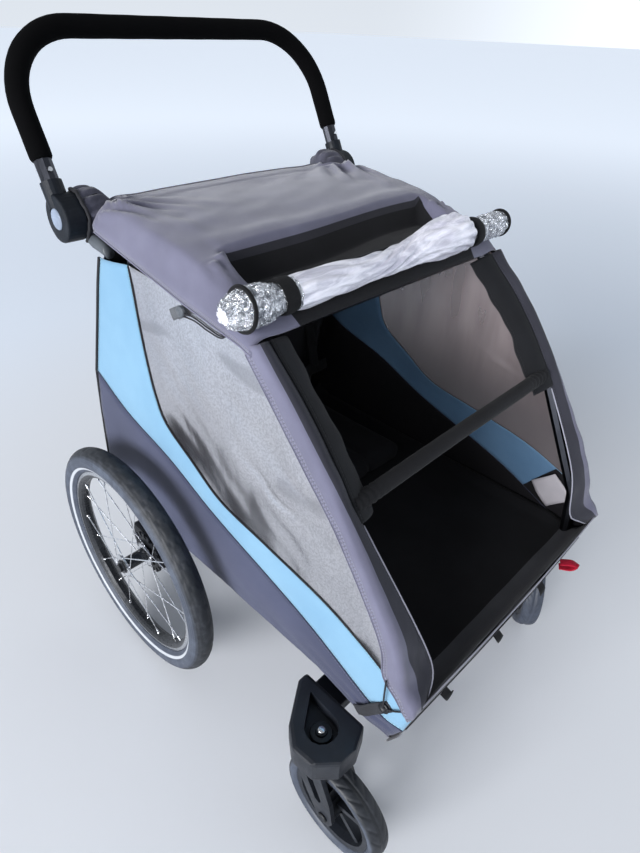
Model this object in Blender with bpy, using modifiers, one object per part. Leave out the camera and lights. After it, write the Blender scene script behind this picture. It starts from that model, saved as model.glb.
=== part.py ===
"""A two-seat child bicycle trailer in stroller mode, as separate pieces.

Run with: blender --background --python part.py
Metres, +Z up, the front faces -Y, X = 0 is the middle plane. Lengths below are measured
from the main axle's line on the floor; the empty named "trailer" then puts the origin
under the middle of the whole trailer.
"""

import math

import bmesh
import bpy
from mathutils import Matrix, Vector

# Overall
AXLE_TO_MIDDLE = 0.207  # the main axle is this far behind the trailer's middle
GAP = 0.0004  # between pieces that touch
TURN = 2 * math.pi

# Main wheels
WHEEL_X = 0.365
WHEEL_R = 0.250
TYRE_HALF = 0.0235
TYRE_BEAD_R = 0.2035
RIM_OUTER_R = 0.2031
RIM_INNER_R = 0.187
RIM_HALF = 0.0135
SPOKES = 20
SPOKE_R = 0.0011
HUB_R = 0.014
FLANGE_R = 0.026
FLANGE_AT = 0.024
AXLE_R = 0.006
BRAKE_RING_R = 0.047
BRAKE_SLOTS = 16
RELEASE_BUTTON_R = 0.009

# Casters
CASTER_X = 0.351
CASTER_Y = -0.522
CASTER_TRAIL = 0.042
CASTER_R = 0.100
CASTER_TYRE_HALF = 0.021
CASTER_RIM_R = 0.079
CASTER_HEADING = {"left": 0.0, "right": math.radians(-55)}
BLOCK_LOW = 0.225
BLOCK_TOP = 0.272
DISH_FLOOR = 0.250

# Frame tubes
FRAME_X = 0.275
FRAME_Z = 0.305
FRAME_R = 0.012
FRAME_FRONT = -0.600
FRAME_REAR = 0.160
PILLAR_R = 0.011
PILLAR_FOOT = (-0.600, 0.3205)
PILLAR_KNEE = (-0.590, 0.420)
PILLAR_MIDDLE = (-0.478, 0.642)
ROOF_FRONT = (-0.296, 0.826)
ROOF_REAR = (0.048, 0.8930)
HOOP_X = 0.259
HOOP_R = 0.0095
HOOP_FOOT = (0.150, 0.3205)
HOOP_TOP = (0.036, 0.852)
CROSSBAR_R = 0.0125
AXLE_Z = 0.250
AXLE_TUBE_R = 0.014

# Fabric body
SIDE_X = 0.2955  # middle of the side panels' thickness
CLOTH = 0.003
FLOOR_Z = 0.2885

# Handlebar
PIVOT_Y = 0.107
PIVOT_Z = 0.902
HUB_BARREL_R = 0.037
ARM_X = 0.318
ARM_R = 0.014
GRIP_R = 0.017
ARM_LENGTH = 0.280
BEND_R = 0.120
GRIP_START = 0.088
LEAN = math.radians(26)
HUB_BUTTON_R = 0.0165
SNAP_R = 0.0035
SNAP_AT = 0.070

# Parking brake
BRAKE_ROD_Y = 0.045
BRAKE_ROD_Z = 0.255
BRAKE_PIN_Y = 0.043
BRAKE_PIN_R = 0.003

# Rolled rain cover
ROLL_Y = -0.298
ROLL_Z = 0.879
ROLL_R = 0.027
ROLL_END = 0.319

COLOURS = {
    "frame_grey": ((0.10, 0.10, 0.11), 0.35, 1.0),
    "steel": ((0.62, 0.62, 0.62), 0.30, 1.0),
    "rim_silver": ((0.55, 0.56, 0.57), 0.30, 1.0),
    "tyre_rubber": ((0.030, 0.030, 0.032), 0.85, 0.0),
    "black_plastic": ((0.022, 0.022, 0.025), 0.45, 0.0),
    "grey_plastic": ((0.055, 0.057, 0.064), 0.50, 0.0),
    "button_grey": ((0.33, 0.35, 0.38), 0.45, 0.0),
    "foam": ((0.018, 0.018, 0.020), 0.90, 0.0),
    "violet_grey_cloth": ((0.085, 0.078, 0.095), 0.85, 0.0),
    "dark_cloth": ((0.045, 0.042, 0.050), 0.88, 0.0),
    "black_cloth": ((0.010, 0.010, 0.012), 0.92, 0.0),
    "blue_cloth": ((0.22, 0.50, 0.68), 0.80, 0.0),
    "smoked_film": ((0.20, 0.19, 0.19), 0.12, 0.0),
    "clear_film": ((0.72, 0.70, 0.74), 0.15, 0.0),
    "webbing": ((0.030, 0.030, 0.034), 0.80, 0.0),
}

for old in list(bpy.data.objects):
    bpy.data.objects.remove(old, do_unlink=True)

PARTS = bpy.data.collections.new("child_bicycle_trailer")
CUTTERS = bpy.data.collections.new("cutters")
bpy.context.scene.collection.children.link(PARTS)
bpy.context.scene.collection.children.link(CUTTERS)
CUTTERS.hide_render = True

MATERIALS = {}
for slot, (colour, roughness, metallic) in COLOURS.items():
    material = bpy.data.materials.new(slot)
    material.use_nodes = True
    shader = material.node_tree.nodes["Principled BSDF"]
    shader.inputs["Base Color"].default_value = (*colour, 1.0)
    shader.inputs["Roughness"].default_value = roughness
    shader.inputs["Metallic"].default_value = metallic
    material.diffuse_color = (*colour, 1.0)
    MATERIALS[slot] = material


def empty(name, location, rotation=(0, 0, 0), parent=None):
    holder = bpy.data.objects.new(name, None)
    holder.location = location
    holder.rotation_euler = rotation
    holder.parent = parent
    PARTS.objects.link(holder)
    return holder


TRAILER = empty("trailer", (0, AXLE_TO_MIDDLE, 0))


def place(name, data, material, location=(0, 0, 0), rotation=(0, 0, 0), parent=None):
    """A named object on the trailer, or on another empty, with its material."""
    piece = bpy.data.objects.new(name, data)
    piece.location = location
    piece.rotation_euler = rotation
    piece.parent = parent or TRAILER
    if material:
        data.materials.append(MATERIALS[material])
    PARTS.objects.link(piece)
    return piece


def smooth(piece, angle=35):
    """Shades the piece's round faces smooth and keeps its corners."""
    for face in piece.data.polygons:
        face.use_smooth = True
    piece.data.set_sharp_from_angle(angle=math.radians(angle))
    return piece


def as_mesh(piece):
    """The curve as a welded mesh object of the same name and place."""
    bpy.context.view_layer.update()
    graph = bpy.context.evaluated_depsgraph_get()
    mesh = bpy.data.meshes.new_from_object(piece.evaluated_get(graph))
    work = bmesh.new()
    work.from_mesh(mesh)
    bmesh.ops.remove_doubles(work, verts=work.verts, dist=1e-5)
    bmesh.ops.recalc_face_normals(work, faces=work.faces)
    work.to_mesh(mesh)
    work.free()
    name = piece.name
    location = piece.location.copy()
    rotation = piece.rotation_euler.copy()
    parent = piece.parent
    bpy.data.objects.remove(piece, do_unlink=True)
    return place(name, mesh, None, location, rotation, parent)


def cut(piece, cutter, operation="DIFFERENCE"):
    """Adds an exact Boolean, and puts its other object away with the cutters."""
    for holder in list(cutter.users_collection):
        holder.objects.unlink(cutter)
    CUTTERS.objects.link(cutter)
    cutter.hide_render = True
    cutter.display_type = "WIRE"
    modifier = piece.modifiers.new(operation.lower(), "BOOLEAN")
    modifier.operation = operation
    modifier.solver = "EXACT"
    modifier.object = cutter
    return piece


def bevel(piece, width, segments=2):
    modifier = piece.modifiers.new("bevel", "BEVEL")
    modifier.width = width
    modifier.segments = segments
    modifier.limit_method = "ANGLE"
    modifier.angle_limit = math.radians(40)
    return piece


def box(name, size, centre, material, rounding=0.0, rotation=(0, 0, 0), parent=None):
    work = bmesh.new()
    bmesh.ops.create_cube(work, size=1.0)
    bmesh.ops.scale(work, vec=size, verts=work.verts)
    mesh = bpy.data.meshes.new(name)
    work.to_mesh(mesh)
    work.free()
    piece = place(name, mesh, material, centre, rotation, parent)
    if rounding:
        bevel(piece, rounding)
    return piece


def cylinder(name, radius, start, end, material, segments=24, parent=None):
    """A round bar between two points, with its origin at its middle."""
    start = Vector(start)
    end = Vector(end)
    work = bmesh.new()
    bmesh.ops.create_cone(
        work,
        cap_ends=True,
        segments=segments,
        radius1=radius,
        radius2=radius,
        depth=(end - start).length,
    )
    turn = (end - start).to_track_quat("Z", "Y").to_matrix()
    bmesh.ops.rotate(work, verts=work.verts, matrix=turn)
    mesh = bpy.data.meshes.new(name)
    work.to_mesh(mesh)
    work.free()
    return smooth(place(name, mesh, material, (start + end) / 2, parent=parent))


def rounded(points, radius, steps=5):
    """The corner points with each inner corner turned into an arc."""
    points = [Vector(point) for point in points]
    path = [points[0]]
    for before, corner, after in zip(points, points[1:], points[2:]):
        back = (before - corner).normalized()
        ahead = (after - corner).normalized()
        half = back.angle(ahead) / 2
        reach = radius / math.tan(half)
        centre = corner + (back + ahead).normalized() * radius / math.sin(half)
        first = corner + back * reach - centre
        axis = first.cross(corner + ahead * reach - centre).normalized()
        sweep = math.pi - 2 * half
        for step in range(steps + 1):
            path.append(centre + Matrix.Rotation(sweep * step / steps, 3, axis) @ first)
    return path + [points[-1]]


def tube(name, path, radius, material, resolution=2, cyclic=False, parent=None):
    curve = bpy.data.curves.new(name, "CURVE")
    curve.dimensions = "3D"
    curve.bevel_depth = radius
    curve.bevel_resolution = resolution
    curve.use_fill_caps = True
    spline = curve.splines.new("POLY")
    spline.points.add(len(path) - 1)
    for point, place_at in zip(spline.points, path):
        point.co = (*place_at, 1.0)
    spline.use_cyclic_u = cyclic
    spline.use_smooth = True
    return place(name, curve, material, parent=parent)


def plate(name, outlines, thickness, material, location=(0, 0, 0), rotation=(0, 0, 0), parent=None):
    """A flat piece cut to one or more closed outlines; inner ones are holes."""
    curve = bpy.data.curves.new(name, "CURVE")
    curve.dimensions = "2D"
    curve.fill_mode = "BOTH"
    curve.extrude = thickness / 2
    for outline in outlines:
        spline = curve.splines.new("POLY")
        spline.points.add(len(outline) - 1)
        for point, (across, along) in zip(spline.points, outline):
            point.co = (across, along, 0.0, 1.0)
        spline.use_cyclic_u = True
    return as_mesh(place(name, curve, material, location, rotation, parent))


def ring_points(radius, count, centre=(0.0, 0.0)):
    angles = [TURN * index / count for index in range(count)]
    return [(centre[0] + radius * math.cos(a), centre[1] + radius * math.sin(a)) for a in angles]


def turned(name, profile, material, steps, closed, location, rotation, parent=None):
    """A (radius, height) profile turned about the piece's own Z axis."""
    mesh = bpy.data.meshes.new(name)
    edges = [(index, index + 1) for index in range(len(profile) - 1)]
    if closed:
        edges.append((len(profile) - 1, 0))
    mesh.from_pydata([(radius, 0, height) for radius, height in profile], edges, [])
    piece = place(name, mesh, material, location, rotation, parent)
    screw = piece.modifiers.new("turn", "SCREW")
    screw.angle = TURN
    screw.steps = steps
    screw.render_steps = steps
    screw.use_merge_vertices = True
    screw.merge_threshold = 0.00001
    screw.use_smooth_shade = True
    return piece


def sheet(name, rows, material, thickness=CLOTH, parent=None):
    """A thin lofted panel through rows of points, thickened equally to both sides."""
    work = bmesh.new()
    grid = [[work.verts.new(point) for point in row] for row in rows]
    for low, high in zip(grid, grid[1:]):
        for index in range(len(low) - 1):
            work.faces.new((low[index], low[index + 1], high[index + 1], high[index]))
    mesh = bpy.data.meshes.new(name)
    work.to_mesh(mesh)
    work.free()
    piece = place(name, mesh, material, parent=parent)
    thicken(piece, thickness)
    return piece


def thicken(piece, thickness):
    modifier = piece.modifiers.new("thickness", "SOLIDIFY")
    modifier.thickness = thickness
    modifier.offset = 0.0
    modifier.use_even_offset = True


SIDES = (("left", -1), ("right", 1))
UPRIGHT = (math.radians(90), 0, math.radians(90))  # lays a plate's X, Y along the trailer's Y, Z


# ---------------------------------------------------------------- frame
def build_frame():
    loop = [
        (-FRAME_X, 0.0, FRAME_Z),
        (-FRAME_X, FRAME_FRONT, FRAME_Z),
        (FRAME_X, FRAME_FRONT, FRAME_Z),
        (FRAME_X, FRAME_REAR, FRAME_Z),
        (-FRAME_X, FRAME_REAR, FRAME_Z),
        (-FRAME_X, 0.0, FRAME_Z),
    ]
    path = rounded(loop, 0.07)[:-1]
    tube("base_frame", path, FRAME_R, "frame_grey", cyclic=True)
    for side, sign in SIDES:
        x = sign * FRAME_X
        corners = [(x, *PILLAR_FOOT), (x, *PILLAR_KNEE), (x, *PILLAR_MIDDLE), (x, *ROOF_FRONT), (x, *ROOF_REAR)]
        tube(f"side_frame_{side}", rounded(corners, 0.035, 4), PILLAR_R, "frame_grey")
    hoop = [
        (-HOOP_X, *HOOP_FOOT),
        (-HOOP_X, *HOOP_TOP),
        (HOOP_X, *HOOP_TOP),
        (HOOP_X, *HOOP_FOOT),
    ]
    tube("rear_hoop", rounded(hoop, 0.05), HOOP_R, "frame_grey")
    inner = FRAME_X - PILLAR_R - GAP
    cylinder("roof_front_tube", PILLAR_R, (-inner, *ROOF_FRONT), (inner, *ROOF_FRONT), "frame_grey", 12)
    cylinder("crossbar", CROSSBAR_R, (-inner, *PILLAR_MIDDLE), (inner, *PILLAR_MIDDLE), "black_cloth", 12)
    cylinder("axle_tube", AXLE_TUBE_R, (-0.285, 0, AXLE_Z), (0.285, 0, AXLE_Z), "frame_grey", 16)


def build_axle_housings():
    for side, sign in SIDES:
        housing = box(
            f"axle_housing_{side}",
            (0.0405, 0.100, 0.069),
            (sign * 0.30575, 0.015, 0.2495),
            "black_plastic",
            0.006,
        )
        bore = cylinder("wheel_bore", 0.0066, (sign * 0.298, 0, AXLE_Z), (sign * 0.340, 0, AXLE_Z), None)
        cut(housing, bore)
        rod = (BRAKE_ROD_Y, BRAKE_ROD_Z)
        cut(housing, cylinder("rod_bore", 0.0065, (sign * 0.275, *rod), (sign * 0.2915, *rod), None, 16))
        pin = (BRAKE_PIN_Y, AXLE_Z)
        cut(housing, cylinder("pin_bore", 0.0035, (sign * 0.299, *pin), (sign * 0.340, *pin), None, 16))


def build_brake():
    rod = cylinder(
        "brake_pedal",
        0.006,
        (-0.290, BRAKE_ROD_Y, BRAKE_ROD_Z),
        (0.290, BRAKE_ROD_Y, BRAKE_ROD_Z),
        "black_plastic",
        12,
    )
    lever = box("pedal_lever", (0.022, 0.120, 0.010), (0, 0.060, 0.0), None, 0.002, parent=rod)
    foot = box("pedal_foot", (0.090, 0.032, 0.014), (0, 0.125, 0.002), None, 0.003, parent=rod)
    cut(rod, lever, "UNION")
    cut(rod, foot, "UNION")
    for side, sign in SIDES:
        inner = (sign * 0.3005, BRAKE_PIN_Y, AXLE_Z)
        outer = (sign * 0.3255, BRAKE_PIN_Y, AXLE_Z)
        cylinder(f"brake_pin_{side}", BRAKE_PIN_R, inner, outer, "steel", 12)


# ---------------------------------------------------------------- main wheels
def spoke_set(name, parent):
    """The wheel's spokes in one mesh, each from a hub flange to the rim, crossing its neighbours."""
    work = bmesh.new()
    for index in range(SPOKES):
        rim_angle = TURN * index / SPOKES
        flange = 1 if index % 2 else -1
        trailing = 1 if index % 4 < 2 else -1
        hub_angle = rim_angle + trailing * math.radians(62)
        start = Vector((
            0.022 * math.cos(hub_angle),
            0.022 * math.sin(hub_angle),
            flange * FLANGE_AT + trailing * 0.0018,
        ))
        end = Vector((
            (RIM_INNER_R - 0.0012) * math.cos(rim_angle),
            (RIM_INNER_R - 0.0012) * math.sin(rim_angle),
            flange * 0.004,
        ))
        made = bmesh.ops.create_cone(
            work, cap_ends=True, segments=6, radius1=SPOKE_R, radius2=SPOKE_R, depth=(end - start).length
        )
        turn = (end - start).to_track_quat("Z", "Y").to_matrix().to_4x4()
        turn.translation = (start + end) / 2
        bmesh.ops.transform(work, matrix=turn, verts=made["verts"])
    mesh = bpy.data.meshes.new(name)
    work.to_mesh(mesh)
    work.free()
    return place(name, mesh, None, parent=parent)


def build_wheel(side, sign):
    """The wheel's own +Z points outboard."""
    axis = empty(f"wheel_axis_{side}", (sign * WHEEL_X, 0, WHEEL_R), (0, sign * math.pi / 2, 0), TRAILER)
    still = ((0, 0, 0), (0, 0, 0), axis)
    tyre = [
        (TYRE_BEAD_R, 0.0125),
        (0.213, 0.0190),
        (0.225, TYRE_HALF),
        (0.238, 0.0205),
        (0.2470, 0.0115),
        (WHEEL_R, 0.0),
        (0.2470, -0.0115),
        (0.238, -0.0205),
        (0.225, -TYRE_HALF),
        (0.213, -0.0190),
        (TYRE_BEAD_R, -0.0125),
    ]
    turned(f"wheel_tyre_{side}", tyre, "tyre_rubber", 64, True, *still)
    rim = [
        (RIM_OUTER_R, 0.0120),
        (RIM_OUTER_R, -0.0120),
        (0.197, -RIM_HALF),
        (0.190, -0.0095),
        (RIM_INNER_R, -0.0050),
        (RIM_INNER_R, 0.0050),
        (0.190, 0.0095),
        (0.197, RIM_HALF),
    ]
    turned(f"wheel_rim_{side}", rim, "rim_silver", 64, True, *still)
    hub = cylinder(f"hub_and_spokes_{side}", HUB_R, (0, 0, -0.036), (0, 0, 0.030), "steel", 24, axis)
    hub_middle = -0.003
    for offset in (FLANGE_AT, -FLANGE_AT):
        low = offset - 0.0017 - hub_middle
        high = offset + 0.0017 - hub_middle
        cut(hub, cylinder("flange", FLANGE_R, (0, 0, low), (0, 0, high), None, 24, hub), "UNION")
    stub = cylinder("stub_axle", AXLE_R, (0, 0, -0.065 - hub_middle), (0, 0, -0.030 - hub_middle), None, 16, hub)
    cut(hub, stub, "UNION")
    spokes = spoke_set("spokes", hub)
    spokes.location = (0, 0, -hub_middle)
    cut(hub, spokes, "UNION")
    recess = cylinder("button_recess", 0.0097, (0, 0, 0.018 - hub_middle), (0, 0, 0.040), None, 20, hub)
    cut(hub, recess)
    cylinder(
        f"wheel_button_{side}", RELEASE_BUTTON_R, (0, 0, 0.0235), (0, 0, 0.035), "black_plastic", 20, axis
    )
    outline = []
    for slot_index in range(BRAKE_SLOTS):
        middle = TURN * slot_index / BRAKE_SLOTS
        for angle, radius in (
            (-0.098, BRAKE_RING_R),
            (-0.090, 0.0375),
            (0.090, 0.0375),
            (0.098, BRAKE_RING_R),
        ):
            outline.append((radius * math.cos(middle + angle), radius * math.sin(middle + angle)))
    holes = [ring_points(HUB_R + 0.0008, 20)]
    for index in range(4):
        angle = TURN * (index + 0.5) / 4
        holes.append(ring_points(0.006, 10, (0.025 * math.cos(angle), 0.025 * math.sin(angle))))
    plate(f"brake_ring_{side}", [outline, *holes], 0.004, "black_plastic", (0, 0, -0.033), parent=axis)


# ---------------------------------------------------------------- casters
def build_caster_block(side, sign):
    outline = [
        (0.3000, -0.438),
        (0.3200, -0.438),
        (0.3830, -0.482),
        (0.4050, -0.512),
        (0.4020, -0.552),
        (0.3720, -0.580),
        (0.3350, -0.582),
        (0.3000, -0.566),
    ]
    points = [(sign * x, y) for x, y in outline]
    middle = (BLOCK_LOW + BLOCK_TOP) / 2
    block = plate(
        f"caster_block_{side}", [points], BLOCK_TOP - BLOCK_LOW, "grey_plastic", (0, 0, middle)
    )
    bevel(block, 0.006)
    arm = box("caster_arm", (0.070, 0.060, 0.024), (sign * 0.275, -0.480, 0.238 - middle), None, 0.004, parent=block)
    cut(block, arm, "UNION")
    drop = []
    for step in range(11):
        angle = math.radians(-125 + 250 * step / 10)
        drop.append((0.027 * math.cos(angle), 0.027 * math.sin(angle)))
    drop.append((-0.062, 0.0))
    towards_tip = math.atan2(-0.522 + 0.462, 0.351 - 0.318)
    turn = towards_tip if sign > 0 else math.pi - towards_tip
    dish = plate(
        "dish",
        [drop],
        0.050,
        None,
        (sign * CASTER_X, CASTER_Y, DISH_FLOOR + 0.025 - middle),
        (0, 0, turn),
        block,
    )
    cut(block, dish)
    low = (sign * CASTER_X, CASTER_Y, BLOCK_LOW - 0.01 - middle)
    high = (sign * CASTER_X, CASTER_Y, DISH_FLOOR + 0.002 - middle)
    cut(block, cylinder("stem_bore", 0.0106, low, high, None, 20, block))


def build_caster(side, sign):
    """Built trailing towards -Y, then turned to its heading about the swivel's axis."""
    heading = (0, 0, CASTER_HEADING[side])
    swivel = empty(f"caster_swivel_{side}", (sign * CASTER_X, CASTER_Y, 0), heading, TRAILER)
    cap = [
        (0.0, 0.2665),
        (0.0030, 0.2660),
        (0.0034, 0.2635),
        (0.0090, 0.2635),
        (0.0100, 0.2600),
        (0.0170, 0.2595),
        (0.0185, 0.2575),
        (0.0185, DISH_FLOOR + GAP),
        (0.0, DISH_FLOOR + GAP),
    ]
    turned(f"swivel_cap_{side}", cap, "black_plastic", 24, False, (0, 0, 0), (0, 0, 0), swivel)
    fork = cylinder(
        f"caster_fork_{side}", 0.030, (0, 0, 0.2035), (0, 0, BLOCK_LOW - 0.0015), "grey_plastic", 24, swivel
    )
    middle = (0.2035 + BLOCK_LOW - 0.0015) / 2
    leg = [
        (0.027, 0.2230),
        (-0.025, 0.2230),
        (-0.054, 0.150),
        (-0.062, 0.104),
        (-0.054, 0.085),
        (-0.034, 0.085),
        (-0.018, 0.108),
        (0.012, 0.160),
    ]
    slot = [(-0.004, 0.190), (-0.014, 0.186), (-0.036, 0.140), (-0.032, 0.132), (-0.022, 0.135), (0.000, 0.180)]
    for offset in (-0.0285, 0.0285):
        made = plate("fork_leg", [leg, slot], 0.008, None, (offset, 0, -middle), UPRIGHT, fork)
        cut(fork, made, "UNION")
    stem_top = DISH_FLOOR - 0.0002
    cut(fork, cylinder("stem", 0.010, (0, 0, 0.0), (0, 0, stem_top - middle), None, 20, fork), "UNION")
    axle = (-CASTER_TRAIL, CASTER_R - middle)
    cut(fork, cylinder("axle", 0.005, (-0.036, *axle), (0.036, *axle), None, 12, fork), "UNION")
    spin = ((0, -CASTER_TRAIL, CASTER_R), (0, math.pi / 2, 0), swivel)
    rounded_tread = [
        (CASTER_RIM_R + 0.0003, 0.0150),
        (0.088, 0.0200),
        (0.096, CASTER_TYRE_HALF - 0.003),
        (0.0990, 0.0110),
        (CASTER_R, 0.0035),
        (0.0982, 0.0018),
        (0.0982, -0.0018),
        (CASTER_R, -0.0035),
        (0.0990, -0.0110),
        (0.096, -CASTER_TYRE_HALF + 0.003),
        (0.088, -0.0200),
        (CASTER_RIM_R + 0.0003, -0.0150),
    ]
    turned(f"caster_tyre_{side}", rounded_tread, "tyre_rubber", 40, True, *spin)
    ring = [
        (CASTER_RIM_R, 0.0150),
        (CASTER_RIM_R, -0.0150),
        (0.069, -0.0140),
        (0.067, 0.0),
        (0.069, 0.0140),
    ]
    rim = turned(f"caster_rim_{side}", ring, "grey_plastic", 32, True, *spin)
    hub = cylinder("caster_hub", 0.016, (0, 0, -0.023), (0, 0, 0.023), None, 20, rim)
    cut(rim, hub, "UNION")
    for index in range(6):
        angle = TURN * index / 6
        centre = (0.042 * math.cos(angle), 0.042 * math.sin(angle), 0)
        arm = box("rim_arm", (0.058, 0.010, 0.016), centre, None, 0.0, (0, 0, angle + 0.25), rim)
        cut(rim, arm, "UNION")
    cut(rim, cylinder("rim_bore", 0.0054, (0, 0, -0.030), (0, 0, 0.030), None, 16, rim))


# ---------------------------------------------------------------- handlebar
def build_hubs():
    for side, sign in SIDES:
        pivot = (PIVOT_Y, PIVOT_Z)
        inner = cylinder(
            f"hub_inner_{side}",
            HUB_BARREL_R,
            (sign * 0.262, *pivot),
            (sign * 0.2960, *pivot),
            "grey_plastic",
            32,
        )
        bevel(inner, 0.004)


def on_arm(distance, x=0.0, proud=0.0):
    """A point this far up the leaning arms, and this far in front of their line."""
    y = PIVOT_Y + distance * math.sin(LEAN) - proud * math.cos(LEAN)
    z = PIVOT_Z + distance * math.cos(LEAN) + proud * math.sin(LEAN)
    return (x, y, z)


def build_handlebar():
    corners = [
        on_arm(0.0365, -ARM_X),
        on_arm(ARM_LENGTH, -ARM_X),
        on_arm(ARM_LENGTH, ARM_X),
        on_arm(0.0365, ARM_X),
    ]
    bar = as_mesh(tube("handlebar_tube", rounded(corners, BEND_R, 8), ARM_R, "frame_grey", 3))
    smooth(bar)
    corners[0] = on_arm(GRIP_START, -ARM_X)
    corners[3] = on_arm(GRIP_START, ARM_X)
    grip = as_mesh(tube("handlebar_grip", rounded(corners, BEND_R, 8), GRIP_R, "foam", 3))
    smooth(grip)
    corners[0] = on_arm(0.0365, -ARM_X)
    corners[3] = on_arm(0.0365, ARM_X)
    cut(grip, as_mesh(tube("grip_bore", rounded(corners, BEND_R, 8), ARM_R + 0.0008, None, 3)))
    for side, sign in SIDES:
        x = sign * ARM_X
        hole = cylinder("snap_hole", 0.0041, on_arm(SNAP_AT, x, 0.004), on_arm(SNAP_AT, x, 0.030), None, 12)
        cut(bar, hole)
        cylinder(
            f"snap_pin_{side}",
            SNAP_R,
            on_arm(SNAP_AT, x, 0.0075),
            on_arm(SNAP_AT, x, ARM_R + 0.0035),
            "steel",
            12,
        )
        inner_face = (sign * 0.2966, PIVOT_Y, PIVOT_Z)
        outer_face = (sign * 0.3310, PIVOT_Y, PIVOT_Z)
        hub = cylinder(f"hub_outer_{side}", HUB_BARREL_R, inner_face, outer_face, "grey_plastic", 32)
        bevel(hub, 0.003)
        middle = Vector(((inner_face[0] + outer_face[0]) / 2, PIVOT_Y, PIVOT_Z))
        socket_low = Vector(on_arm(0.010, x)) - middle
        socket_high = Vector(on_arm(0.056, x)) - middle
        hole_low = Vector(on_arm(0.0360, x)) - middle
        hole_high = Vector(on_arm(0.080, x)) - middle
        cut(hub, cylinder("socket", 0.0170, socket_low, socket_high, None, 20, hub), "UNION")
        cut(hub, cylinder("socket_hole", ARM_R + 0.0007, hole_low, hole_high, None, 20, hub))
        well_low = (sign * 0.3200 - middle.x, 0, 0)
        well_high = (sign * 0.3400 - middle.x, 0, 0)
        cut(hub, cylinder("button_well", HUB_BUTTON_R + 0.0006, well_low, well_high, None, 28, hub))
        button = cylinder(
            f"hub_button_{side}",
            HUB_BUTTON_R,
            (sign * 0.3250, PIVOT_Y, PIVOT_Z),
            (sign * 0.3325, PIVOT_Y, PIVOT_Z),
            "button_grey",
            28,
        )
        bevel(button, 0.001, 1)


# ---------------------------------------------------------------- fabric body
TUB_SIDE = [
    (0.1800, FLOOR_Z),
    (0.1780, 0.394),
    (0.1540, 0.601),
    (0.0530, 0.549),
    (-0.0760, 0.512),
    (-0.2070, 0.458),
    (-0.4190, 0.392),
    (-0.5670, 0.327),
    (-0.6260, 0.316),
    (-0.6020, 0.256),
    (-0.4500, FLOOR_Z),
]
BLUE_EDGE = [
    (0.0580, 0.846),
    (0.1530, 0.604),
    (0.0530, 0.553),
    (-0.0760, 0.516),
    (-0.2070, 0.462),
    (-0.4190, 0.396),
    (-0.5670, 0.331),
    (-0.6240, 0.320),
    (-0.6380, 0.366),
    (-0.5890, 0.418),
    (-0.4600, 0.467),
    (-0.2240, 0.504),
    (-0.1490, 0.547),
    (-0.0770, 0.588),
    (-0.0500, 0.638),
    (-0.0370, 0.755),
    (-0.0300, 0.860),
]
WINDOW_EDGE = [
    (-0.0340, 0.850),
    (-0.0410, 0.755),
    (-0.0540, 0.640),
    (-0.0800, 0.592),
    (-0.1510, 0.551),
    (-0.2250, 0.508),
    (-0.4610, 0.471),
    (-0.5860, 0.423),
    (-0.5730, 0.487),
    (-0.4910, 0.614),
    (-0.3960, 0.724),
    (-0.3100, 0.822),
]


def build_tub():
    """The lower body: floor, side walls, front lip and low rear wall, open at the top."""
    work = bmesh.new()
    outline = [work.verts.new((-SIDE_X, y, z)) for y, z in TUB_SIDE]
    wall = work.faces.new(outline)
    grown = bmesh.ops.extrude_face_region(work, geom=[wall], use_keep_orig=True)
    moved = [item for item in grown["geom"] if isinstance(item, bmesh.types.BMVert)]
    bmesh.ops.translate(work, vec=(2 * SIDE_X, 0, 0), verts=moved)
    bmesh.ops.remove_doubles(work, verts=work.verts, dist=1e-6)
    open_top = []
    lip = None
    for face in work.faces:
        across = max(v.co.x for v in face.verts) - min(v.co.x for v in face.verts)
        middle = face.calc_center_median()
        if across < SIDE_X or len(face.verts) != 4:
            continue
        heights = sorted({round(v.co.z, 4) for v in face.verts})
        lowest = min(v.co.z for v in face.verts)
        if lowest > 0.300 and middle.y < 0.150:
            open_top.append(face)
        elif heights[-1] == 0.316:
            lip = face
    bmesh.ops.delete(work, geom=open_top, context="FACES")
    rim_edge = [edge for edge in lip.edges if all(abs(v.co.z - 0.316) < 1e-5 for v in edge.verts)]
    raised = bmesh.ops.extrude_edge_only(work, edges=rim_edge)
    lifted = [item for item in raised["geom"] if isinstance(item, bmesh.types.BMVert)]
    bmesh.ops.translate(work, vec=(0, -0.016, 0.069), verts=lifted)
    for vert in work.verts:
        if vert.co.y < -0.595:
            vert.co.x *= 0.975
    bmesh.ops.recalc_face_normals(work, faces=work.faces)
    mesh = bpy.data.meshes.new("tub")
    work.to_mesh(mesh)
    work.free()
    thicken(place("tub", mesh, "dark_cloth"), CLOTH)


PILLAR_CLOTH = [
    # (window edge y, z), (front corner y, z), inner edge x
    ((-0.5980, 0.4270), (-0.6200, 0.4180), 0.222),
    ((-0.5795, 0.4900), (-0.5920, 0.4970), 0.246),
    ((-0.4975, 0.6170), (-0.5050, 0.6320), 0.266),
    ((-0.4320, 0.6930), (-0.4480, 0.7120), 0.270),
    ((-0.3750, 0.7585), (-0.3920, 0.7760), 0.270),
    ((-0.3360, 0.8010), (-0.3520, 0.8120), 0.270),
]
FLAP_WIDTH = 0.050


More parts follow.
